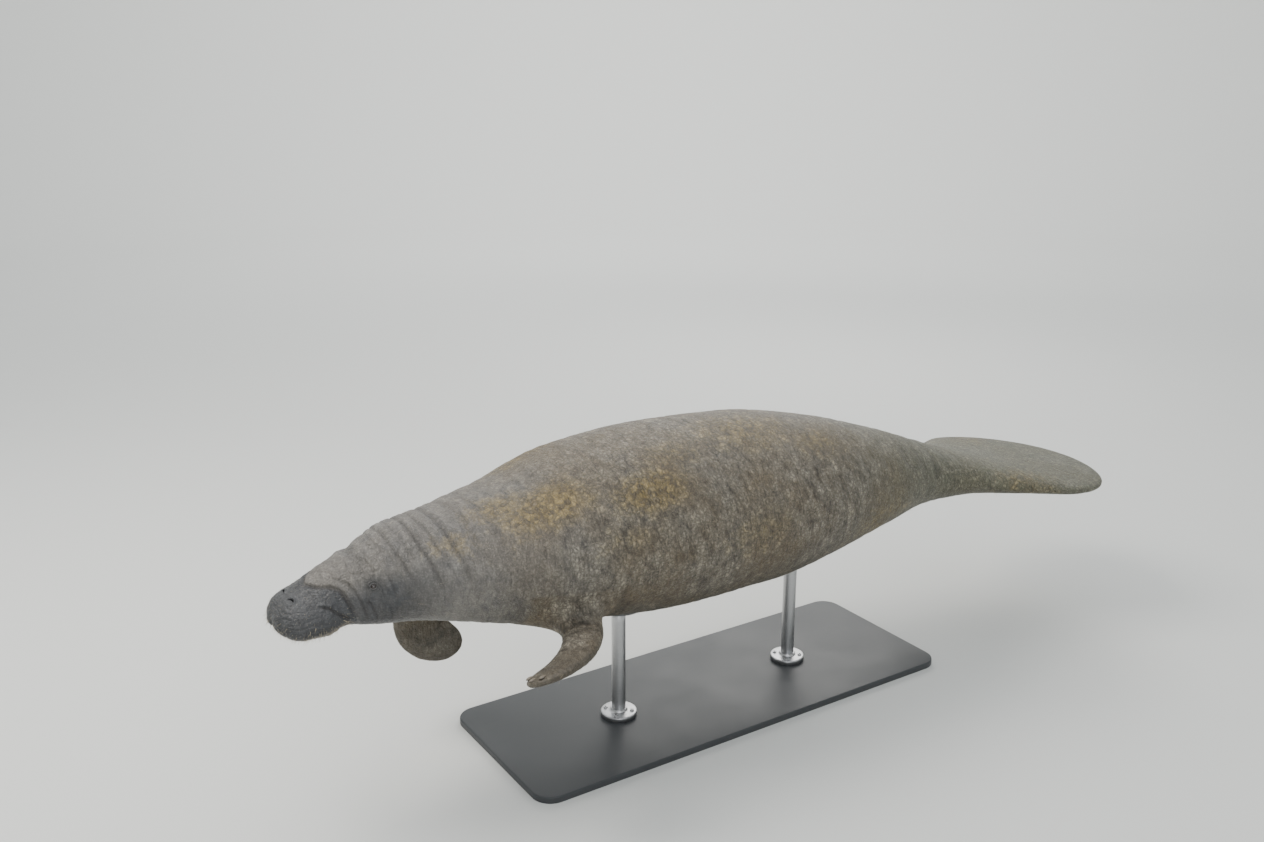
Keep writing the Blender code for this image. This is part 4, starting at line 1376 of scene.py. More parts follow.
def hide_colour(add, look, marks, pattern):
    """Mottled grey-brown with clouds and tints, ochre growth, slate muzzle and pale lip rims, with
    painted shade under the body and head, on the snout's lower front and round the eyes.
    """
    stops = [(0.34, look.dark), (0.50, look.middle), (0.68, look.light)]
    colour = add("ramp", pattern["mottle"], stops=stops)
    warm = add("MULTIPLY", add("range", pattern["cloud"], 0.40, 0.62), 0.60)
    colour = add("mix", warm, colour, look.warm)
    for name, share, tint in HIDE_TINTS:
        colour = add("mix", add("MULTIPLY", marks[name], share), colour, getattr(look, tint))
    ragged = add("MULTIPLY_ADD", pattern["mottle"], 1.6, -0.8)
    growth = add("range", add("ADD", marks["algae"], ragged), 0.22, 0.80, 0.0, 0.85)
    strokes = add("MULTIPLY", growth, add("ADD", pattern["speck"], 0.30))
    ochre = add("mix", add("range", pattern["plates"], 0.25, 0.75), look.algae_dark, look.algae)
    colour = add("mix", strokes, colour, ochre)
    slate = add("ramp", pattern["mottle"], stops=[(0.30, look.slate_dark), (0.62, look.slate)])
    border = add("MULTIPLY_ADD", add("ADD", pattern["mottle"], pattern["cloud"]), 0.7, -0.7)
    # The slate mark is the muzzle's own slate and, on the sides and underside of the head and neck,
    # painted shade.
    muzzle = add("range", add("ADD", marks["slate"], border), 0.25, 0.80, 0.0, 0.86)
    colour = add("mix", muzzle, colour, slate)
    # Painted shade: the snout's lower front and the ring round each eye go towards the darkest slate.
    colour = add("mix", add("MULTIPLY", marks["front"], 0.60), colour, look.slate_dark)
    pale = add("MULTIPLY", marks["rim"], add("ADD", pattern["speck"], 0.20))
    return add("mix", add("MULTIPLY", pale, 0.75), colour, look.rim)


def hide_material(look):
    """Thick wrinkled hide: matt grey-brown skin in a net of cracks, with algae on its back.

    Worn plates of about 13 mm lie between the cracks, with pebbles of 5 mm on them,
    over wrinkles that run round the body. Slate on the muzzle, ochre where algae grow.
    """
    material, add, place = new_material("wrinkled_hide")
    marks = {name: add("mark", attribute_name=name, out="Fac") for name in HIDE_MARKS}
    pattern = {}
    for name, (stretch, scale, detail, rough, twist) in HIDE_NOISES.items():
        source = add("ShaderNodeMapping", place, Scale=stretch) if stretch else place
        settings = {"Scale": scale, "Detail": detail, "Roughness": rough, "Distortion": twist}
        pattern[name] = add("noise", source, **settings)
    pebble = add("cells", place, Scale=PEBBLE_SCALE, feature="SMOOTH_F1", Smoothness=0.4)
    drift = add("noise", place, Scale=44.0, Detail=5.0, Roughness=0.65, out="Color")
    shift = (CRACK_DRIFT,) * 3
    drift = add("ShaderNodeVectorMath", drift, shift, place, operation="MULTIPLY_ADD")
    pattern["plates"] = add("cells", drift, Scale=PLATE_SCALE, out="Color")
    net = add("cells", drift, Scale=PLATE_SCALE, feature="DISTANCE_TO_EDGE")
    cracks = add("cells", drift, Scale=CRACK_SCALE, feature="DISTANCE_TO_EDGE")

    smooth = marks["slate"]
    for name, share in (("head", 0.45), ("flipper", 0.55)):
        smooth = add("ADD", smooth, add("MULTIPLY", marks[name], share))
    body = add("SUBTRACT", 1.0, smooth, use_clamp=True)
    thin, long = (
        add("range", add("ABSOLUTE", add("SUBTRACT", pattern[name], 0.5)), 0.0, reach, most, 0.0)
        for name, reach, most in (("wrinkle", 0.035, 0.30), ("crease", 0.022, 0.42))
    )
    veins = add("MULTIPLY", add("MAXIMUM", thin, long), body)
    uneven = add("range", pattern["mottle"], 0.35, 0.60, 0.35, 1.0)
    # Painted shade in the net of cracks between the plates.
    crack_shade = add("MULTIPLY", add("range", net, 0.0, 0.30, 0.64, 0.0), uneven)
    # Tones on the colour. All but the plates' tone are painted shade in the relief's low places: the
    # net of cracks, the wrinkles' valleys, the sunk lines and the gaps between pebbles, with the
    # pebbles' tops painted lighter.
    tones = (
        add("SUBTRACT", 1.14, add("MULTIPLY", crack_shade, body)),
        add("range", pattern["plates"], 0.2, 0.8, 0.89, 1.11),
        add("range", pattern["wrinkle"], 0.34, 0.56, 0.82, 1.04),
        add("SUBTRACT", 1.03, veins),
        add("range", pebble, 0.0, 0.55, 1.14, 0.76),
    )
    colour = hide_colour(add, look, marks, pattern)
    for value in tones:
        colour = toned(add, colour, value)
    # Painted shade in the folds, in the creases' dark colour.
    colour = add("mix", add("MULTIPLY", marks["fold"], 0.70), colour, look.crease)
    rough = add("range", pattern["speck"], 0.3, 0.7, 0.44, 0.66)
    rough = total(add, rough, (marks["slate"], -0.07))

    split = add("MULTIPLY", add("range", cracks, 0.0, 0.14, -0.34, 0.0), marks["slate"])
    fine = add("MULTIPLY", add("SUBTRACT", pattern["lines"], pattern["wrinkle"]), marks["slate"])
    height = total(
        add,
        add("MULTIPLY", pattern["wrinkle"], 3.0),
        (pattern["crease"], 2.6),
        (pebble, -1.1),
        (pattern["speck"], 0.55),
        (add("range", net, 0.0, 0.24, -1.3, 0.0), body),
        (veins, -1.6),
        (split, add("range", pattern["mottle"], 0.38, 0.62)),
        (fine, 2.6),
    )
    show(add, height, 1.0, 0.001 * look.grain, Base_Color=colour, Roughness=rough, IOR=1.45)
    return material


def eye_material(look):
    """A manatee's wet eye: round pupil, dark brown iris, black edge, brownish white behind."""
    material, add, place = new_material("wet_eye")
    fibres = add("noise", place, Scale=900.0, Detail=4.0, Roughness=0.7)
    wander = add("MULTIPLY_ADD", fibres, 0.020, -0.010)
    gaze = add("ADD", add("mark", attribute_name="gaze", out="Fac"), wander)
    iris = [(0.080, look.iris), (0.170, look.iris_edge)]
    colour = add("ramp", gaze, stops=[EYE_PUPIL, *iris, *EYE_WHITE])
    colour = toned(add, colour, add("range", fibres, 0.35, 0.70, 0.70, 1.25))
    wet = {"Roughness": 0.12, "IOR": 1.38, "Coat_Weight": 1.0, "Coat_Roughness": 0.03}
    add("ShaderNodeOutputMaterial", add("ShaderNodeBsdfPrincipled", colour, **wet))
    return material


def nail_material(look):
    """Dull horn: straw-grey plate with growth lines across it and grime at its edge."""
    material, add, place = new_material("nail_horn")
    cloud = add("noise", place, Scale=140.0, Detail=5.0, Roughness=0.65)
    lines = {"Scale": 260.0, "Distortion": 5.0, "Detail": 3.0, "Detail_Scale": 1.5}
    lines = add("ShaderNodeTexWave", place, **lines, out="Fac")
    colour = add("ramp", cloud, stops=[(0.30, look.nail_dark), (0.68, look.nail)])
    grime = add("range", add("mark", attribute_name="edge", out="Fac"), 0.72, 1.05)
    colour = add("mix", add("MULTIPLY", grime, 0.8), colour, NAIL_GRIME)
    colour = toned(add, colour, add("MULTIPLY_ADD", lines, 0.22, 0.86))
    rough = add("MULTIPLY_ADD", cloud, 0.30, 0.28)
    height = add("MULTIPLY_ADD", lines, 0.35, cloud)
    show(add, height, 0.8, 0.0003, Base_Color=colour, Roughness=rough, IOR=1.54)
    return material


def hair_material(name, colour, tip):
    """Pale horny hair: patches of the two colours with a fine grain, slightly waxy."""
    material, add, place = new_material(name)
    patch, grain = (add("noise", place, Scale=scale, Detail=2.0) for scale in (60.0, 900.0))
    blend = add("mix", add("range", patch, 0.35, 0.65), colour, tip)
    blend = toned(add, blend, add("MULTIPLY_ADD", grain, 0.5, 0.75))
    show(add, grain, 0.4, 0.0002, Base_Color=blend, Roughness=0.42, IOR=1.55)
    return material


def powder_coat(look):
    """Charcoal powder coat on steel: satin, with a fine orange peel and faint scuffs."""
    material, add, place = new_material("powder_coat")
    peel = add("noise", place, Scale=420.0, Detail=2.0, Roughness=0.5)
    cloud = add("noise", place, Scale=5.0, Detail=5.0, Roughness=0.6)
    stretched = add("ShaderNodeMapping", place, Scale=(160, 6, 40), Rotation=(0, 0, 0.4))
    scuff = add("noise", stretched, Scale=1.0, Detail=3.0, Roughness=0.6)
    scuff = add("range", scuff, 0.64, 0.76)
    colour = add("mix", add("MULTIPLY", cloud, 0.5), look.paint, look.paint_worn)
    colour = add("mix", add("MULTIPLY", scuff, 0.25), colour, look.paint_worn)
    rough = total(add, add("MULTIPLY_ADD", cloud, 0.22, 0.34), (scuff, 0.12))
    show(add, peel, 0.35, 0.0003, Base_Color=colour, Roughness=rough, IOR=1.5)
    return material


def brushed_steel(look, name, stretch):
    """Brushed stainless steel: fine lines along the brushing, which spread the highlights."""
    material, add, place = new_material(name)
    drawn = add("ShaderNodeMapping", place, Scale=stretch)
    lines = add("noise", drawn, Scale=1.0, Detail=4.0, Roughness=0.7)
    smear = add("noise", place, Scale=14.0, Detail=3.0, Roughness=0.6)
    colour = toned(add, look.steel, add("range", lines, 0.3, 0.7, 0.80, 1.08))
    rough = total(add, add("range", lines, 0.3, 0.7, 0.24, 0.42), (smear, 0.12))
    show(add, lines, 0.25, 0.0001, Base_Color=colour, Metallic=1.0, Roughness=rough)
    return material


def rubber(look):
    """Soft black rubber: matt, with a slight bloom and moulding grain."""
    material, add, place = new_material("pad_rubber")
    bloom = add("noise", place, Scale=40.0, Detail=4.0, Roughness=0.6)
    grain = add("noise", place, Scale=900.0, Detail=2.0)
    colour = add("mix", bloom, look.rubber, look.rubber_bloom)
    rough = add("MULTIPLY_ADD", bloom, 0.2, 0.62)
    show(add, grain, 0.5, 0.0002, Base_Color=colour, Roughness=rough)
    return material


def settle(item, material, slot, *nodes):
    """Give a finished piece its material, body and the solids it stands for. The slot is not used."""
    item.data.materials.clear()
    item.data.materials.append(material)
    item.data.polygons.foreach_set("material_index", np.zeros(len(item.data.polygons), np.int32))
    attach(item, "root")
    if nodes:
        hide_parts(*nodes)


def loft(rings, first_tip=None, last_tip=None):
    """A closed mesh through rings of points, ended by a flat face or by a single point."""
    made = bmesh.new()
    table = [[made.verts.new(point) for point in ring] for ring in rings]
    count = len(table[0])
    for near, far in zip(table, table[1:]):
        for i in range(count):
            j = (i + 1) % count
            made.faces.new((near[i], near[j], far[j], far[i]))
    for ring, tip in ((table[0], first_tip), (table[-1], last_tip)):
        if tip is None:
            made.faces.new(ring)
            continue
        point = made.verts.new(tip)
        for i in range(count):
            made.faces.new((ring[i], ring[(i + 1) % count], point))
    return made


def turned(profile, x, y, columns):
    """Rings of a turned piece about an upright axis, from (radius, height) pairs."""
    turns = 2 * np.pi * np.arange(columns) / columns
    return [
        [(x + radius * math.cos(t), y + radius * math.sin(t), height) for t in turns]
        for radius, height in profile
    ]


def rounded_corner(start, corner, end, steps=5):
    """Points of an arc-like bend from start to end, drawn towards the corner."""
    start, corner, end = map(np.array, (start, corner, end))
    share = np.linspace(0, 1, steps + 1)[:, None]
    curve = (1 - share) ** 2 * start + 2 * (1 - share) * share * corner + share**2 * end
    return [tuple(point) for point in curve]


def make_eyeball(side, columns=40):
    """An eyeball with a bulging cornea, and its angle off the gaze stored at each point."""
    angle = math.radians(EYE_ANGLE) * (1 if side == "left" else -1)
    outward = hull_normals(np.array(EYE_AT), np.array(angle))
    centre = Vector(hull(EYE_AT, angle) - outward * (EYE_RADIUS - EYE_PROUD))
    outward = Vector(outward)
    turn = outward.to_track_quat("Z", "Y").to_matrix()
    limbus = math.radians(CORNEA_EDGE)
    front, back = np.linspace(0, limbus, 24)[1:], np.linspace(limbus, math.pi, 13)[1:-1]
    rings = []
    for polar in np.concatenate([front, back]):
        radius = EYE_RADIUS + CORNEA_BULGE * math.exp(-((polar / CORNEA_SPREAD) ** 4))
        ring = []
        for i in range(columns):
            t = 2 * math.pi * i / columns
            flat = math.sin(polar)
            spot = Vector((flat * math.cos(t), flat * math.sin(t), math.cos(polar)))
            ring.append(centre + turn @ spot * radius)
        rings.append(ring)
    front_tip = centre + outward * (EYE_RADIUS + CORNEA_BULGE)
    item = object_from(loft(rings, front_tip, centre - outward * EYE_RADIUS), "eyeball_" + side)
    gaze = [(v.co - centre).normalized().angle(outward) / math.pi for v in item.data.vertices]
    add_mark(item.data, "gaze", gaze)
    return item


def nail_frame(side, number):
    """Centre of a nail and its blade, forward and face directions."""
    length = flipper_frame(side, 0.0)[-1]
    share = 1 - NAIL_BACK_FROM_TIP[number] / length
    centre, forward, blade, face, _, thickness, _ = flipper_frame(side, share)
    breadth = FLIPPER_JOINTS[side]["tip"][3]
    place = centre + blade * NAIL_PLACES[number] * breadth
    return place + face * thickness * NAIL_BED, blade, forward, face


def make_nail(side, number, name, columns=36):
    """A domed horny plate with a free edge towards the tip and its root under the skin."""
    centre, blade, forward, face = nail_frame(side, number)
    half_width, half_length, half_height = NAIL_SIZE
    dome = [(share, (1 - share**2.6) ** 0.5) for share in NAIL_DOME]
    rings = []
    for share, height in (*dome, *NAIL_ROOT):
        ring = []
        for i in range(columns):
            t = 2 * math.pi * i / columns
            across = math.copysign(abs(math.cos(t)) ** 0.86, math.cos(t)) * share
            along = math.copysign(abs(math.sin(t)) ** 0.94, math.sin(t)) * share
            ridge = NAIL_RIDGES * math.cos(9 * math.pi * across) * max(height, 0)
            rise = height * (1 - 0.16 * along * along) + ridge
            point = centre + blade * across * half_width + forward * along * half_length
            ring.append(point + face * rise * half_height)
        rings.append(ring)
    made = loft(rings, centre + face * half_height * 1.03, centre - face * half_height * 0.62)
    item = object_from(made, name)
    edge = []
    for vertex in item.data.vertices:
        apart = vertex.co - centre
        edge.append(math.hypot(apart.dot(blade) / half_width, apart.dot(forward) / half_length))
    add_mark(item.data, "edge", edge)
    return item


def new_tree(name, inputs, output):
    """A geometry node tree with its named inputs and one output, and how to add to it."""
    tree = bpy.data.node_groups.new(name, "GeometryNodeTree")
    for label, kind in inputs.items():
        tree.interface.new_socket(label, in_out="INPUT", socket_type="NodeSocket" + kind)
    tree.interface.new_socket(output, in_out="OUTPUT", socket_type="NodeSocketGeometry")
    add = functools.partial(put, tree)
    source = tree.nodes.new("NodeGroupInput")
    return tree, add, {socket.name: socket for socket in source.outputs}


def end_tree(add, points, instance, rotation, scale, material):
    """End a tree: its instances on points, made real, with their material."""
    placed = {"Instance": instance, "Rotation": rotation, "Scale": scale}
    placed = add("GeometryNodeInstanceOnPoints", points, **placed)
    solid = add("GeometryNodeRealizeInstances", placed)
    add("NodeGroupOutput", add("GeometryNodeSetMaterial", solid, Material=material))


def make_hair_tree():
    """Tapered, bent hairs scattered over the hide where a stored number asks for them."""
    tree, add, given = new_tree("scattered_hairs", HAIR_INPUTS, "Hairs")
    where = {"data_type": "FLOAT", "Name": given["Where"]}
    where = add("GeometryNodeInputNamedAttribute", **where)
    square = add("MULTIPLY", given["Spacing"], given["Spacing"])
    points = add(
        "GeometryNodeDistributePointsOnFaces",
        given["Hide"],
        distribute_method="POISSON",
        Distance_Min=given["Spacing"],
        Density_Max=add("DIVIDE", HAIR_CROWDING, square),
        Density_Factor=where,
        Seed=given["Seed"],
    )
    middle = add("ShaderNodeCombineXYZ", Z=0.5)
    end = add("ShaderNodeCombineXYZ", given["Bend"], Z=0.88)
    stem = {"Resolution": HAIR_RINGS - 1, "Start": (0, 0, -HAIR_ROOT)}
    stem = add("GeometryNodeCurveQuadraticBezier", **stem, Middle=middle, End=end)
    section = add("GeometryNodeCurvePrimitiveCircle", HAIR_SIDES, Radius=0.5)
    along = add("GeometryNodeSplineParameter")
    taper = add("SUBTRACT", 1.0, add("POWER", along, HAIR_TAPER))
    taper = add("MULTIPLY", add("MAXIMUM", taper, HAIR_TIP), given["Thickness"])
    hair = add("GeometryNodeCurveToMesh", stem, section, taper, True)

    lie = add("GeometryNodeInputNamedAttribute", "lie", data_type="FLOAT_VECTOR")
    random = {"data_type": "FLOAT_VECTOR", "Seed": given["Seed"]}
    stray = add("FunctionNodeRandomValue", (-1, -1, -1), (1, 1, 1), **random)
    vector = "ShaderNodeVectorMath"
    slant = add(vector, lie, given["Lean"], operation="SCALE")
    stray = add(vector, stray, given["Untidiness"], operation="SCALE")
    upward = add(vector, points.node.outputs["Normal"], slant, operation="ADD")
    upward = add(vector, upward, stray, operation="ADD")
    turn = add("FunctionNodeAlignRotationToVector", axis="Z", Vector=upward)
    way = {"axis": "X", "pivot_axis": "Z", "Vector": lie}
    turn = add("FunctionNodeAlignRotationToVector", turn, **way)
    random = {"data_type": "FLOAT", "Seed": given["Seed"]}
    size = add("FunctionNodeRandomValue", given["Shortest"], 1.0, **random)
    size = add("MULTIPLY", size, given["Length"])
    end_tree(add, points, hair, turn, size, given["Horn"])
    return tree


def make_screw_tree():
    """A ring of screws round a foot."""
    tree, add, given = new_tree("ring_of_screws", SCREW_INPUTS, "Screws")
    ring = add("GeometryNodeMeshCircle", given["Count"], given["Ring radius"])
    quarter = add("GeometryNodeTransform", ring, Rotation=(0, 0, math.pi / 4))
    moved = add("GeometryNodeTransform", quarter, given["Place"])
    turns = add("FunctionNodeRandomValue", None, 1.05, data_type="FLOAT", Seed=4)
    turns = add("ShaderNodeCombineXYZ", Z=turns)
    end_tree(add, moved, given["Screw"], turns, None, given["Steel"])
    return tree


def run_tree(tree, source, name, values):
    """The plain mesh that a geometry node tree makes from a source mesh and named values."""
    item = object_of(source, name)
    modifier = item.modifiers.new(name, "NODES")
    modifier.node_group = tree
    for socket in tree.interface.items_tree:
        if socket.in_out == "INPUT" and socket.name in values:
            modifier[socket.identifier] = values[socket.name]
    bpy.context.view_layer.update()
    depsgraph = bpy.context.evaluated_depsgraph_get()
    made = bpy.data.meshes.new_from_object(item.evaluated_get(depsgraph), depsgraph=depsgraph)
    item.modifiers.clear()
    item.data = made
    made.name = name
    return item


def map_hairs(data):
    """Give each hair its own small patch at its root's place on the hide's unwrap."""
    count = HAIR_SIDES * HAIR_RINGS
    roots = np.zeros(len(data.vertices) * 2, np.float32)
    data.attributes["OFBake"].data.foreach_get("vector", roots)
    roots = roots.reshape(-1, 2)
    data.attributes.remove(data.attributes["OFBake"])
    places = []
    for face in data.polygons:
        sides = [v % count % HAIR_SIDES for v in face.vertices]
        rings = [v % count // HAIR_SIDES for v in face.vertices]
        around = 0 in sides and HAIR_SIDES - 1 in sides
        flat = len(set(rings)) == 1
        for side, ring in zip(sides, rings):
            if flat:
                turn = 2 * math.pi * side / HAIR_SIDES
                middle = 0.2 if ring else 0.6
                spot = (0.9 + 0.06 * math.cos(turn), middle + 0.06 * math.sin(turn))
            else:
                side = HAIR_SIDES if around and side == 0 else side
                spot = (0.8 * side / HAIR_SIDES, ring / HAIR_RINGS)
            places.append(spot)
    corners = np.zeros(len(data.loops), np.int32)
    data.loops.foreach_get("vertex_index", corners)
    places = roots[corners] + (np.array(places, np.float32) - 0.5) * HAIR_PATCH
    layer = data.uv_layers.new(name="OFBake")
    layer.data.foreach_set("uv", np.clip(places, 0.0, 1.0).astype(np.float32).ravel())


def base_plate():
    """The stand's base: a plate with round corners, an eased foot and a rounded upper edge."""
    top, edge = BASE_THICKNESS, BASE_EDGE
    rounding = rounded_corner((0.0, top - edge), (0.0, top), (edge, top), 7)
    rings = []
    for inset, height in (*BASE_FOOT, *rounding):
        ring = []
        for quarter, (way, side) in enumerate(((1, -1), (1, 1), (-1, 1), (-1, -1))):
            along = way * (BASE_LENGTH / 2 - BASE_CORNER)
            across = side * (BASE_WIDTH / 2 - BASE_CORNER)
            for step in range(CORNER_STEPS + 1):
                turn = math.pi / 2 * (quarter - 1 + step / CORNER_STEPS)
                reach = BASE_CORNER - inset
                x, y = across + reach * math.sin(turn), along + reach * math.cos(turn)
                ring.append((x, y, height))
        rings.append(ring)
    return object_from(loft(rings), "base_plate", sharp=40)


def support_heights(y):
    """Heights of a foot's underside and top, and of a saddle's bottom."""
    belly = hull(np.interp(y, SPINE[1], SPINE[0]), math.pi)[2]
    floor = BASE_THICKNESS + JOINT_GAP
    return floor, floor + FOOT_HEIGHT, belly - SADDLE_DEPTH


def make_foot(place, y):
    """A turned flange with a rounded shoulder round the rod and an eased rim."""
    floor, top, _ = support_heights(y)
    r, rod, ease = FOOT_RADIUS, ROD_RADIUS, 0.0012
    profile = [(r - ease, floor), (r, floor + ease)]
    profile += rounded_corner((r, top - FOOT_EDGE), (r, top - ease), (r - FOOT_EDGE, top - 0.0010))
    out, up = FOOT_COLLAR[0]
    profile.append((rod + out, top + up))
    profile += rounded_corner(*((rod + out, top + up) for out, up in FOOT_COLLAR[1:4]))
    profile += [(rod + out, top + up) for out, up in FOOT_COLLAR[4:]]
    return object_from(loft(turned(profile, 0, y, columns=80)), "foot_flange_" + place, sharp=50)


def make_rod(place, y):
    """A plain round rod between the foot and the saddle."""
    _, top, bottom = support_heights(y)
    r, ease = ROD_RADIUS, 0.001
    low, high = top + JOINT_GAP, bottom - JOINT_GAP
    levels = np.linspace(low + ease, high - ease, 14)
    profile = [(r - ease, low), *((r, z) for z in levels), (r - ease, high)]
    return object_from(loft(turned(profile, 0, y, columns=64)), "rod_" + place, sharp=50)


def make_saddle(place, y, skin, columns=96):
    """A turned cup under the belly, and the rubber pad that it holds against the hide."""
    bottom = support_heights(y)[2]
    radius, depth, pad = SADDLE_RADIUS, SADDLE_DEPTH, PAD_THICKNESS
    neck = ROD_RADIUS + 0.0056
    outer = [(ROD_RADIUS + 0.0046, bottom)]
    for start, corner, end in (
        ((neck, 0.001), (neck, 0.010), (radius * 0.52, depth * 0.30)),
        ((radius * 0.78, depth * 0.52), (radius * 0.99, depth * 0.66), (radius, depth * 0.98)),
    ):
        bend = ((out, bottom + up) for out, up in (start, corner, end))
        outer += rounded_corner(*bend, steps=6)

    def skin_over(x, along, gap):
        hit = skin.ray_cast(Vector((x, along, 0.05)), Vector((0, 0, 1)))[0]
        return (x, along, hit.z - gap)

    def under_skin(reach, gap):
        turns = 2 * np.pi * np.arange(columns) / columns
        return [skin_over(reach * math.cos(t), y + reach * math.sin(t), gap) for t in turns]

    rings = turned(outer, 0, y, columns)
    rings += [under_skin(radius - inset, pad + gap) for inset, gap in SADDLE_LIP]
    rings += [under_skin(radius * share, pad) for share in (0.8, 0.6, 0.4, 0.2)]
    cup = object_from(loft(rings, None, skin_over(0, y, pad)), "saddle_" + place, sharp=50)

    reach, low = radius - PAD_INSET, pad - PAD_LIFT
    rings = [under_skin(share * reach, low) for share in (0.2, 0.5, 0.8, 0.97)]
    rings.append(under_skin(reach, pad * 0.8))
    rings.append(under_skin(reach + PAD_BULGE, pad * 0.4))
    rings.append(under_skin(reach, PAD_EDGE))
    rings += [under_skin(share * reach, -PAD_PRESS) for share in (0.96, 0.8, 0.5, 0.2)]
    made = loft(rings, skin_over(0, y, low), skin_over(0, y, -PAD_PRESS))
    return cup, object_from(made, "saddle_pad_" + place)


def screw_mesh(sides=24):
    """A round-headed socket screw, seen from above, with its hexagon recess."""
    profile = [(SCREW_RADIUS * out, SCREW_HEIGHT * up) for out, up in SCREW_HEAD]
    rings = turned(profile, 0, 0, sides)
    for height in (SCREW_HEIGHT, SCREW_HEIGHT * 0.30):
        ring = []
        for t in 2 * np.pi * np.arange(sides) / sides:
            flat = math.cos(math.pi / 6) / math.cos((t % (math.pi / 3)) - math.pi / 6)
            reach = SCREW_RADIUS * 0.50 * flat
            ring.append((reach * math.cos(t), reach * math.sin(t), height))
        rings.append(ring)
    data = mesh_from(loft(rings), "screw")
    data.shade_flat()
    return data


def setting(kind, name, description, default, low, high, **more):
    """A number setting with its limits."""
    limits = {"default": default, "min": low, "max": high}
    return kind(name=name, description=description, **limits, **more)


def length_property(name, description, default, low, high):
    """A length setting, in metres."""
    shown = {"subtype": "DISTANCE", "precision": 4}
    return setting(bpy.props.FloatProperty, name, description, default, low, high, **shown)


def colour_property(name, description, default):
    """A colour setting, from its sRGB hex."""
    vector = {"subtype": "COLOR", "size": 3}
    colour = linear(default)[:3]
    return setting(bpy.props.FloatVectorProperty, name, description, colour, 0.0, 1.0, **vector)


class MANATEE_PG_hide(bpy.types.PropertyGroup):
    """Sizes and colours of the hide."""

    coat: length_property("Depth", "How far the hide lies inside the solids", 0.0010, 0.0, 0.004)
    wrinkles: setting(
        bpy.props.FloatProperty, "Wrinkles", "Depth of the wrinkles, as a share", 1.0, 0.0, 2.0
    )
    grain: setting(
        bpy.props.FloatProperty, "Grain", "Strength of the skin's fine grain", 1.0, 0.0, 3.0
    )
    dark: colour_property("Dark hide", "Dark mottling", "#3f3a32")
    middle: colour_property("Hide", "Main grey-brown", "#7f776a")
    light: colour_property("Light hide", "Light mottling", "#aea695")
    warm: colour_property("Brown cast", "Broad brown clouds", "#76664c")
    rear: colour_property("Rear", "Olive grey of the loin and tail", "#6f735f")
    # The belly's colour paints the shade on the lower flanks and underside.
    belly: colour_property("Belly", "Darker underside", "#5a564d")
    head: colour_property("Head", "Blue-grey of the forehead, neck and shoulders", "#6b6c6f")
    algae: colour_property("Algae", "Ochre growth on the back", "#96804a")
    algae_dark: colour_property("Dark algae", "Olive-brown growth on the back", "#655637")
    slate: colour_property("Muzzle", "Slate grey of the muzzle", "#2f3237")
    # The darkest slate is also the painted shade on the snout's front and round the eyes.
    slate_dark: colour_property("Dark muzzle", "Darkest slate", "#1f2023")
    rim: colour_property("Lip rim", "Pale rim of the lip pads", "#9a8f80")
    # The creases' colour is the painted shade in the folds.
    crease: colour_property("Creases", "Dark of the deep folds", "#26221f")


class MANATEE_OT_hide(bpy.types.Operator):
    """Make the one hide that covers the body and flippers"""

    bl_idname = "manatee.make_hide"
    bl_label = "Make hide"

    def execute(self, context):
        look = context.scene.manatee_hide
        mesh = assemble_hide(look.coat)
        tidy_points(mesh)
        item = hide_object(mesh)
        normals = point_normals(item.data)
        points, shade = wrinkle_hide(mesh, normals, look.wrinkles)
        item.data.vertices.foreach_set("co", points.astype(np.float32).ravel())
        item.data.update()
        for name, values in hide_marks(mesh, shade).items():
            add_mark(item.data, name, values)
        add_mark(item.data, "lie", lie_of_hair(mesh, normals), "FLOAT_VECTOR")
        settle(item, hide_material(look), "hide", *FLESH)
        return {"FINISHED"}


class MANATEE_PG_eye(bpy.types.PropertyGroup):
    """Colours of the eyes."""

    iris: colour_property("Iris", "Brown round the pupil", "#33211a")
    iris_edge: colour_property("Iris edge", "Darker brown at the iris's edge", "#1d120d")


class MANATEE_OT_eyes(bpy.types.Operator):
    """Make the two eyeballs"""

    bl_idname = "manatee.make_eyes"
    bl_label = "Make eyes"

    def execute(self, context):
        material = eye_material(context.scene.manatee_eye)
        for side in ("left", "right"):
            settle(make_eyeball(side), material, "eye", "eye_" + side)
        return {"FINISHED"}


class MANATEE_PG_nail(bpy.types.PropertyGroup):
    """Colours of the nails."""

    nail: colour_property("Nail", "Straw grey of the plate", "#91887a")
    nail_dark: colour_property("Nail stain", "Brown stain in the plate", "#5f5444")


class MANATEE_OT_nails(bpy.types.Operator):
    """Make the three nails of each flipper"""

    bl_idname = "manatee.make_nails"
    bl_label = "Make nails"

    def execute(self, context):
        material = nail_material(context.scene.manatee_nail)
        for side, number in NAILS:
            node = f"nail_{side}_{number + 1}"
            settle(make_nail(side, number, "horny_" + node), material, "horn", node)
        return {"FINISHED"}


class MANATEE_PG_hair(bpy.types.PropertyGroup):
    """Sizes and colours of the bristles and hairs."""

    bristle_length: length_property(
        "Bristle length", "Longest bristles of the lip pads", 0.017, 0.002, 0.04
    )
    bristle_spacing: length_property(
        "Bristle spacing", "Least gap between bristles", 0.0046, 0.002, 0.02
    )
    stubble_length: length_property(
        "Muzzle hair length", "Longest of the muzzle's short hairs", 0.009, 0.002, 0.03
    )
    stubble_spacing: length_property(
        "Muzzle hair spacing", "Least gap between the muzzle's short hairs", 0.0085, 0.002, 0.03
    )
    body_length: length_property(
        "Body hair length", "Longest of the single hairs of the body", 0.030, 0.005, 0.08
    )
    body_spacing: length_property(
        "Body hair spacing", "Least gap between the single hairs of the body", 0.034, 0.01, 0.1
    )
    hair: colour_property("Hair", "Grey-brown of the hairs", "#766b59")
    hair_tip: colour_property("Pale hair", "Straw of the palest hairs", "#c9bb9c")


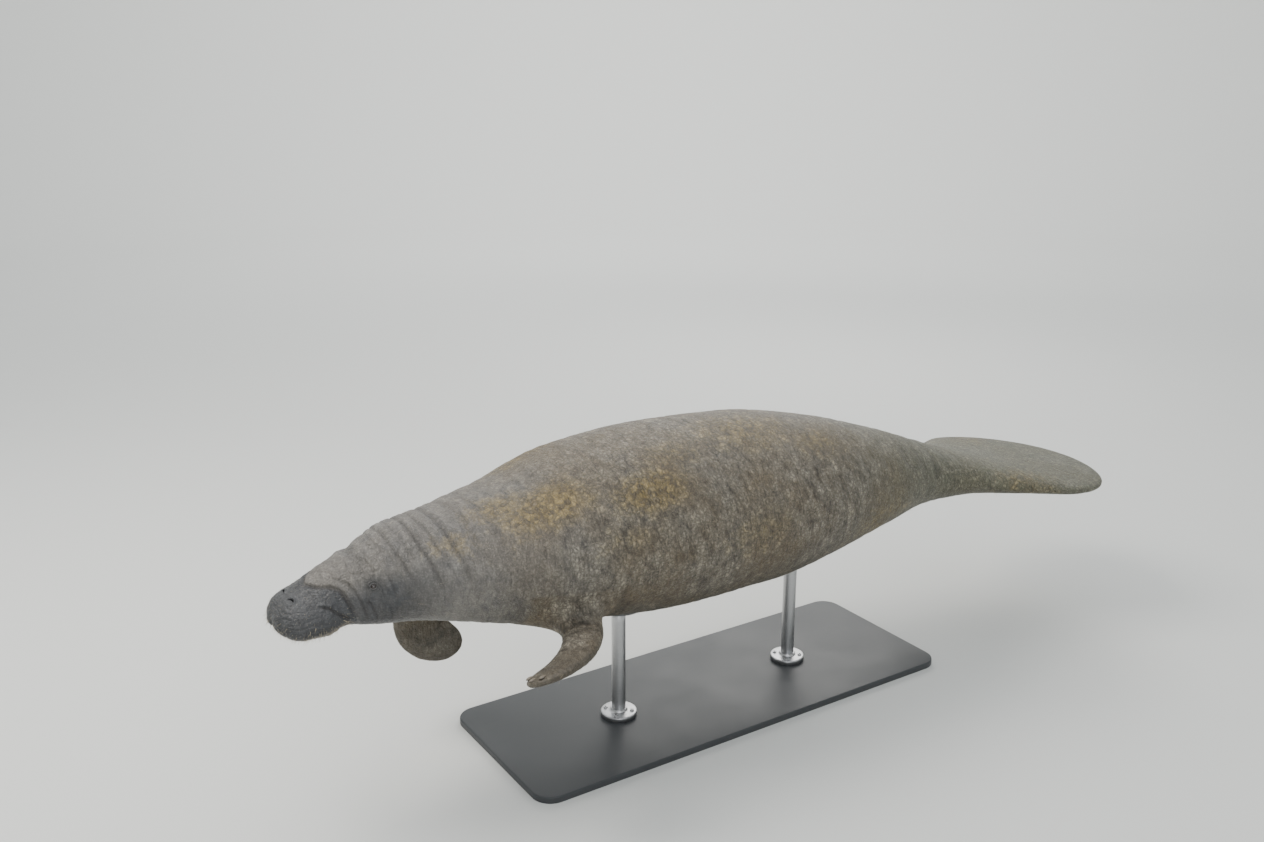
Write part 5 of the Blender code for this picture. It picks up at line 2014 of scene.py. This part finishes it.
class MANATEE_OT_hair(bpy.types.Operator):
    """Make the lip pads' bristles, the muzzle's short hairs and the body's single hairs"""

    bl_idname = "manatee.make_hair"
    bl_label = "Make bristles and hair"

    def execute(self, context):
        look = context.scene.manatee_hair
        tree = make_hair_tree()
        horn = hair_material("bristle_horn", look.hair_tip, look.hair)
        fine = hair_material("fine_hair", look.hair, look.hair_tip)
        hide = bpy.data.objects["hide"].data
        for seed, (name, (where, size, *shape)) in enumerate(HAIR_COATS.items(), start=3):
            material = horn if name == "bristles" else fine
            values = dict(zip(HAIR_SHAPE, shape))
            values |= {"Where": where, "Seed": seed, "Horn": material}
            values["Spacing"] = getattr(look, size + "_spacing")
            values["Length"] = getattr(look, size + "_length")
            item = run_tree(tree, hide, name, values)
            map_hairs(item.data)
            settle(item, material, "horn")
        bpy.data.node_groups.remove(tree)
        return {"FINISHED"}


class MANATEE_PG_stand(bpy.types.PropertyGroup):
    """Colours of the display stand, and its screws."""

    paint: colour_property("Base", "Charcoal powder coat", "#2f3133")
    paint_worn: colour_property("Worn base", "Where the coat is dusty or scuffed", "#45474a")
    steel: colour_property("Steel", "Brushed stainless steel", "#c3c3c4")
    rubber: colour_property("Pad", "Black rubber of the saddles' pads", "#161616")
    rubber_bloom: colour_property("Pad bloom", "Grey bloom on the rubber", "#2b2a29")
    screws: setting(bpy.props.IntProperty, "Screws", "Screws in each foot", 4, 2, 12)


class MANATEE_OT_stand(bpy.types.Operator):
    """Make the display stand: base plate, feet with screws, rods, saddles and pads"""

    bl_idname = "manatee.make_stand"
    bl_label = "Make stand"

    def execute(self, context):
        look = context.scene.manatee_stand
        settle(base_plate(), powder_coat(look), "stand_paint", "stand_base")
        drawn = brushed_steel(look, "brushed_rod_steel", (60, 60, 1600))
        lathed = brushed_steel(look, "turned_steel", (240, 240, 1800))
        pad_rubber = rubber(look)
        depsgraph = context.evaluated_depsgraph_get()
        skin = BVHTree.FromObject(bpy.data.objects["hide"], depsgraph)
        tree, screw = make_screw_tree(), screw_mesh()
        for place, y in (("front", -ROD_SPREAD), ("rear", ROD_SPREAD)):
            settle(make_foot(place, y), lathed, "stand_steel", "stand_foot_" + place)
            settle(make_rod(place, y), drawn, "stand_steel", "stand_rod_" + place)
            cup, pad = make_saddle(place, y, skin)
            settle(cup, lathed, "stand_steel", "stand_saddle_" + place)
            settle(pad, pad_rubber, "stand_paint")
            values = {"Count": look.screws, "Ring radius": SCREW_RING, "Steel": lathed}
            values["Place"] = (0.0, y, support_heights(y)[1] - SCREW_SUNK)
            screws = run_tree(tree, screw, "foot_screws_" + place, values)
            screws.data.set_sharp_from_angle(angle=math.radians(35))
            settle(screws, lathed, "stand_steel")
        bpy.data.node_groups.remove(tree)
        return {"FINISHED"}


class MANATEE_PG_stage(bpy.types.PropertyGroup):
    """The camera's lens and the floor's colour."""

    lens: setting(
        bpy.props.FloatProperty, "Lens", "Focal length in mm on a 36 mm sensor", 35.6, 10, 200
    )
    floor: colour_property("Floor", "Pale floor and backdrop", "#d8d8d4")


def aimed(data, place, way):
    """A lamp or camera as an object at a place, looking one way."""
    item = object_of(data, data.name)
    item.location = place
    item.rotation_euler = way.to_track_quat("-Z", "Y").to_euler()
    return item


def studio_floor():
    """A round paper bowl: flat floor, curved foot and upright backdrop, open above."""
    turns = [math.pi / 2 * i / FLOOR_STEPS for i in range(FLOOR_STEPS + 1)]
    profile = [
        (FLOOR_RADIUS + FLOOR_BEND * math.sin(t), FLOOR_BEND * (1 - math.cos(t))) for t in turns
    ]
    profile.append((FLOOR_RADIUS + FLOOR_BEND, BACKDROP_HEIGHT))
    made = bmesh.new()
    rings = [[made.verts.new(spot) for spot in ring] for ring in turned(profile, 0, 0, columns=96)]
    made.faces.new(rings[0])
    for near, far in zip(rings, rings[1:]):
        for i in range(len(near)):
            j = (i + 1) % len(near)
            made.faces.new((near[j], near[i], far[i], far[j]))
    data = bpy.data.meshes.new("studio_floor")
    made.to_mesh(data)
    made.free()
    data.shade_smooth()
    return object_of(data, "studio_floor")


class MANATEE_OT_stage(bpy.types.Operator):
    """Make the floor, the lights and the camera"""

    bl_idname = "manatee.make_stage"
    bl_label = "Make stage"

    def execute(self, context):
        look = context.scene.manatee_stage
        floor = studio_floor()
        paper, add, _ = new_material("studio_paper")
        shader = add("ShaderNodeBsdfPrincipled", look.floor, Roughness=0.85)
        add("ShaderNodeOutputMaterial", shader)
        floor.data.materials.append(paper)
        floor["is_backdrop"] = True
        world = bpy.data.worlds.new("studio")
        world.use_nodes = True
        sky = world.node_tree.nodes["Background"].inputs
        sky[0].default_value, sky[1].default_value = SKY_COLOUR, SKY_STRENGTH
        context.scene.world = world
        for name, spot, target, size, power, colour in LIGHTS:
            lamp = bpy.data.lights.new(name, "AREA")
            lamp.size, lamp.energy, lamp.color = size, power, colour
            aimed(lamp, spot, Vector(target) - Vector(spot))
        camera = bpy.data.cameras.new("camera")
        camera.lens, camera.sensor_width, camera.clip_end = look.lens, SENSOR_WIDTH, CLIP_END
        turn, pitch = math.radians(CAMERA_AZIMUTH), math.radians(CAMERA_PITCH)
        level = math.cos(pitch)
        back = Vector((math.sin(turn) * level, -math.cos(turn) * level, math.sin(pitch)))
        context.scene.camera = aimed(camera, CAMERA_PLACE, -back)
        return {"FINISHED"}


STEPS = (
    ("manatee_hide", MANATEE_PG_hide, MANATEE_OT_hide),
    ("manatee_eye", MANATEE_PG_eye, MANATEE_OT_eyes),
    ("manatee_nail", MANATEE_PG_nail, MANATEE_OT_nails),
    ("manatee_hair", MANATEE_PG_hair, MANATEE_OT_hair),
    ("manatee_stand", MANATEE_PG_stand, MANATEE_OT_stand),
    ("manatee_stage", MANATEE_PG_stage, MANATEE_OT_stage),
)


class MANATEE_PT_panel(bpy.types.Panel):
    """Sidebar panel with every step and its settings"""

    bl_idname = "MANATEE_PT_panel"
    bl_label = "Manatee"
    bl_space_type = "VIEW_3D"
    bl_region_type = "UI"
    bl_category = "Manatee"

    def draw(self, context):
        for name, _, operator in STEPS:
            self.layout.operator(operator.bl_idname)
            settings = getattr(context.scene, name)
            for key in settings.__annotations__:
                self.layout.prop(settings, key)


def register():
    """Make the settings, steps and panel known to Blender."""
    for name, group, operator in STEPS:
        bpy.utils.register_class(group)
        bpy.utils.register_class(operator)
        setattr(bpy.types.Scene, name, bpy.props.PointerProperty(type=group))
    bpy.utils.register_class(MANATEE_PT_panel)


def unregister():
    """Take them away again."""
    bpy.utils.unregister_class(MANATEE_PT_panel)
    for name, group, operator in reversed(STEPS):
        delattr(bpy.types.Scene, name)
        bpy.utils.unregister_class(operator)
        bpy.utils.unregister_class(group)


def main():
    """Make every piece."""
    register()
    bpy.ops.manatee.make_hide()
    bpy.ops.manatee.make_eyes()
    bpy.ops.manatee.make_nails()
    bpy.ops.manatee.make_hair()
    bpy.ops.manatee.make_stand()
    bpy.ops.manatee.make_stage()
    boxes = [[list(corner) for corner in box] for box in (CAD_BOX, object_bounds())]


if __name__ == "__main__":
    main()
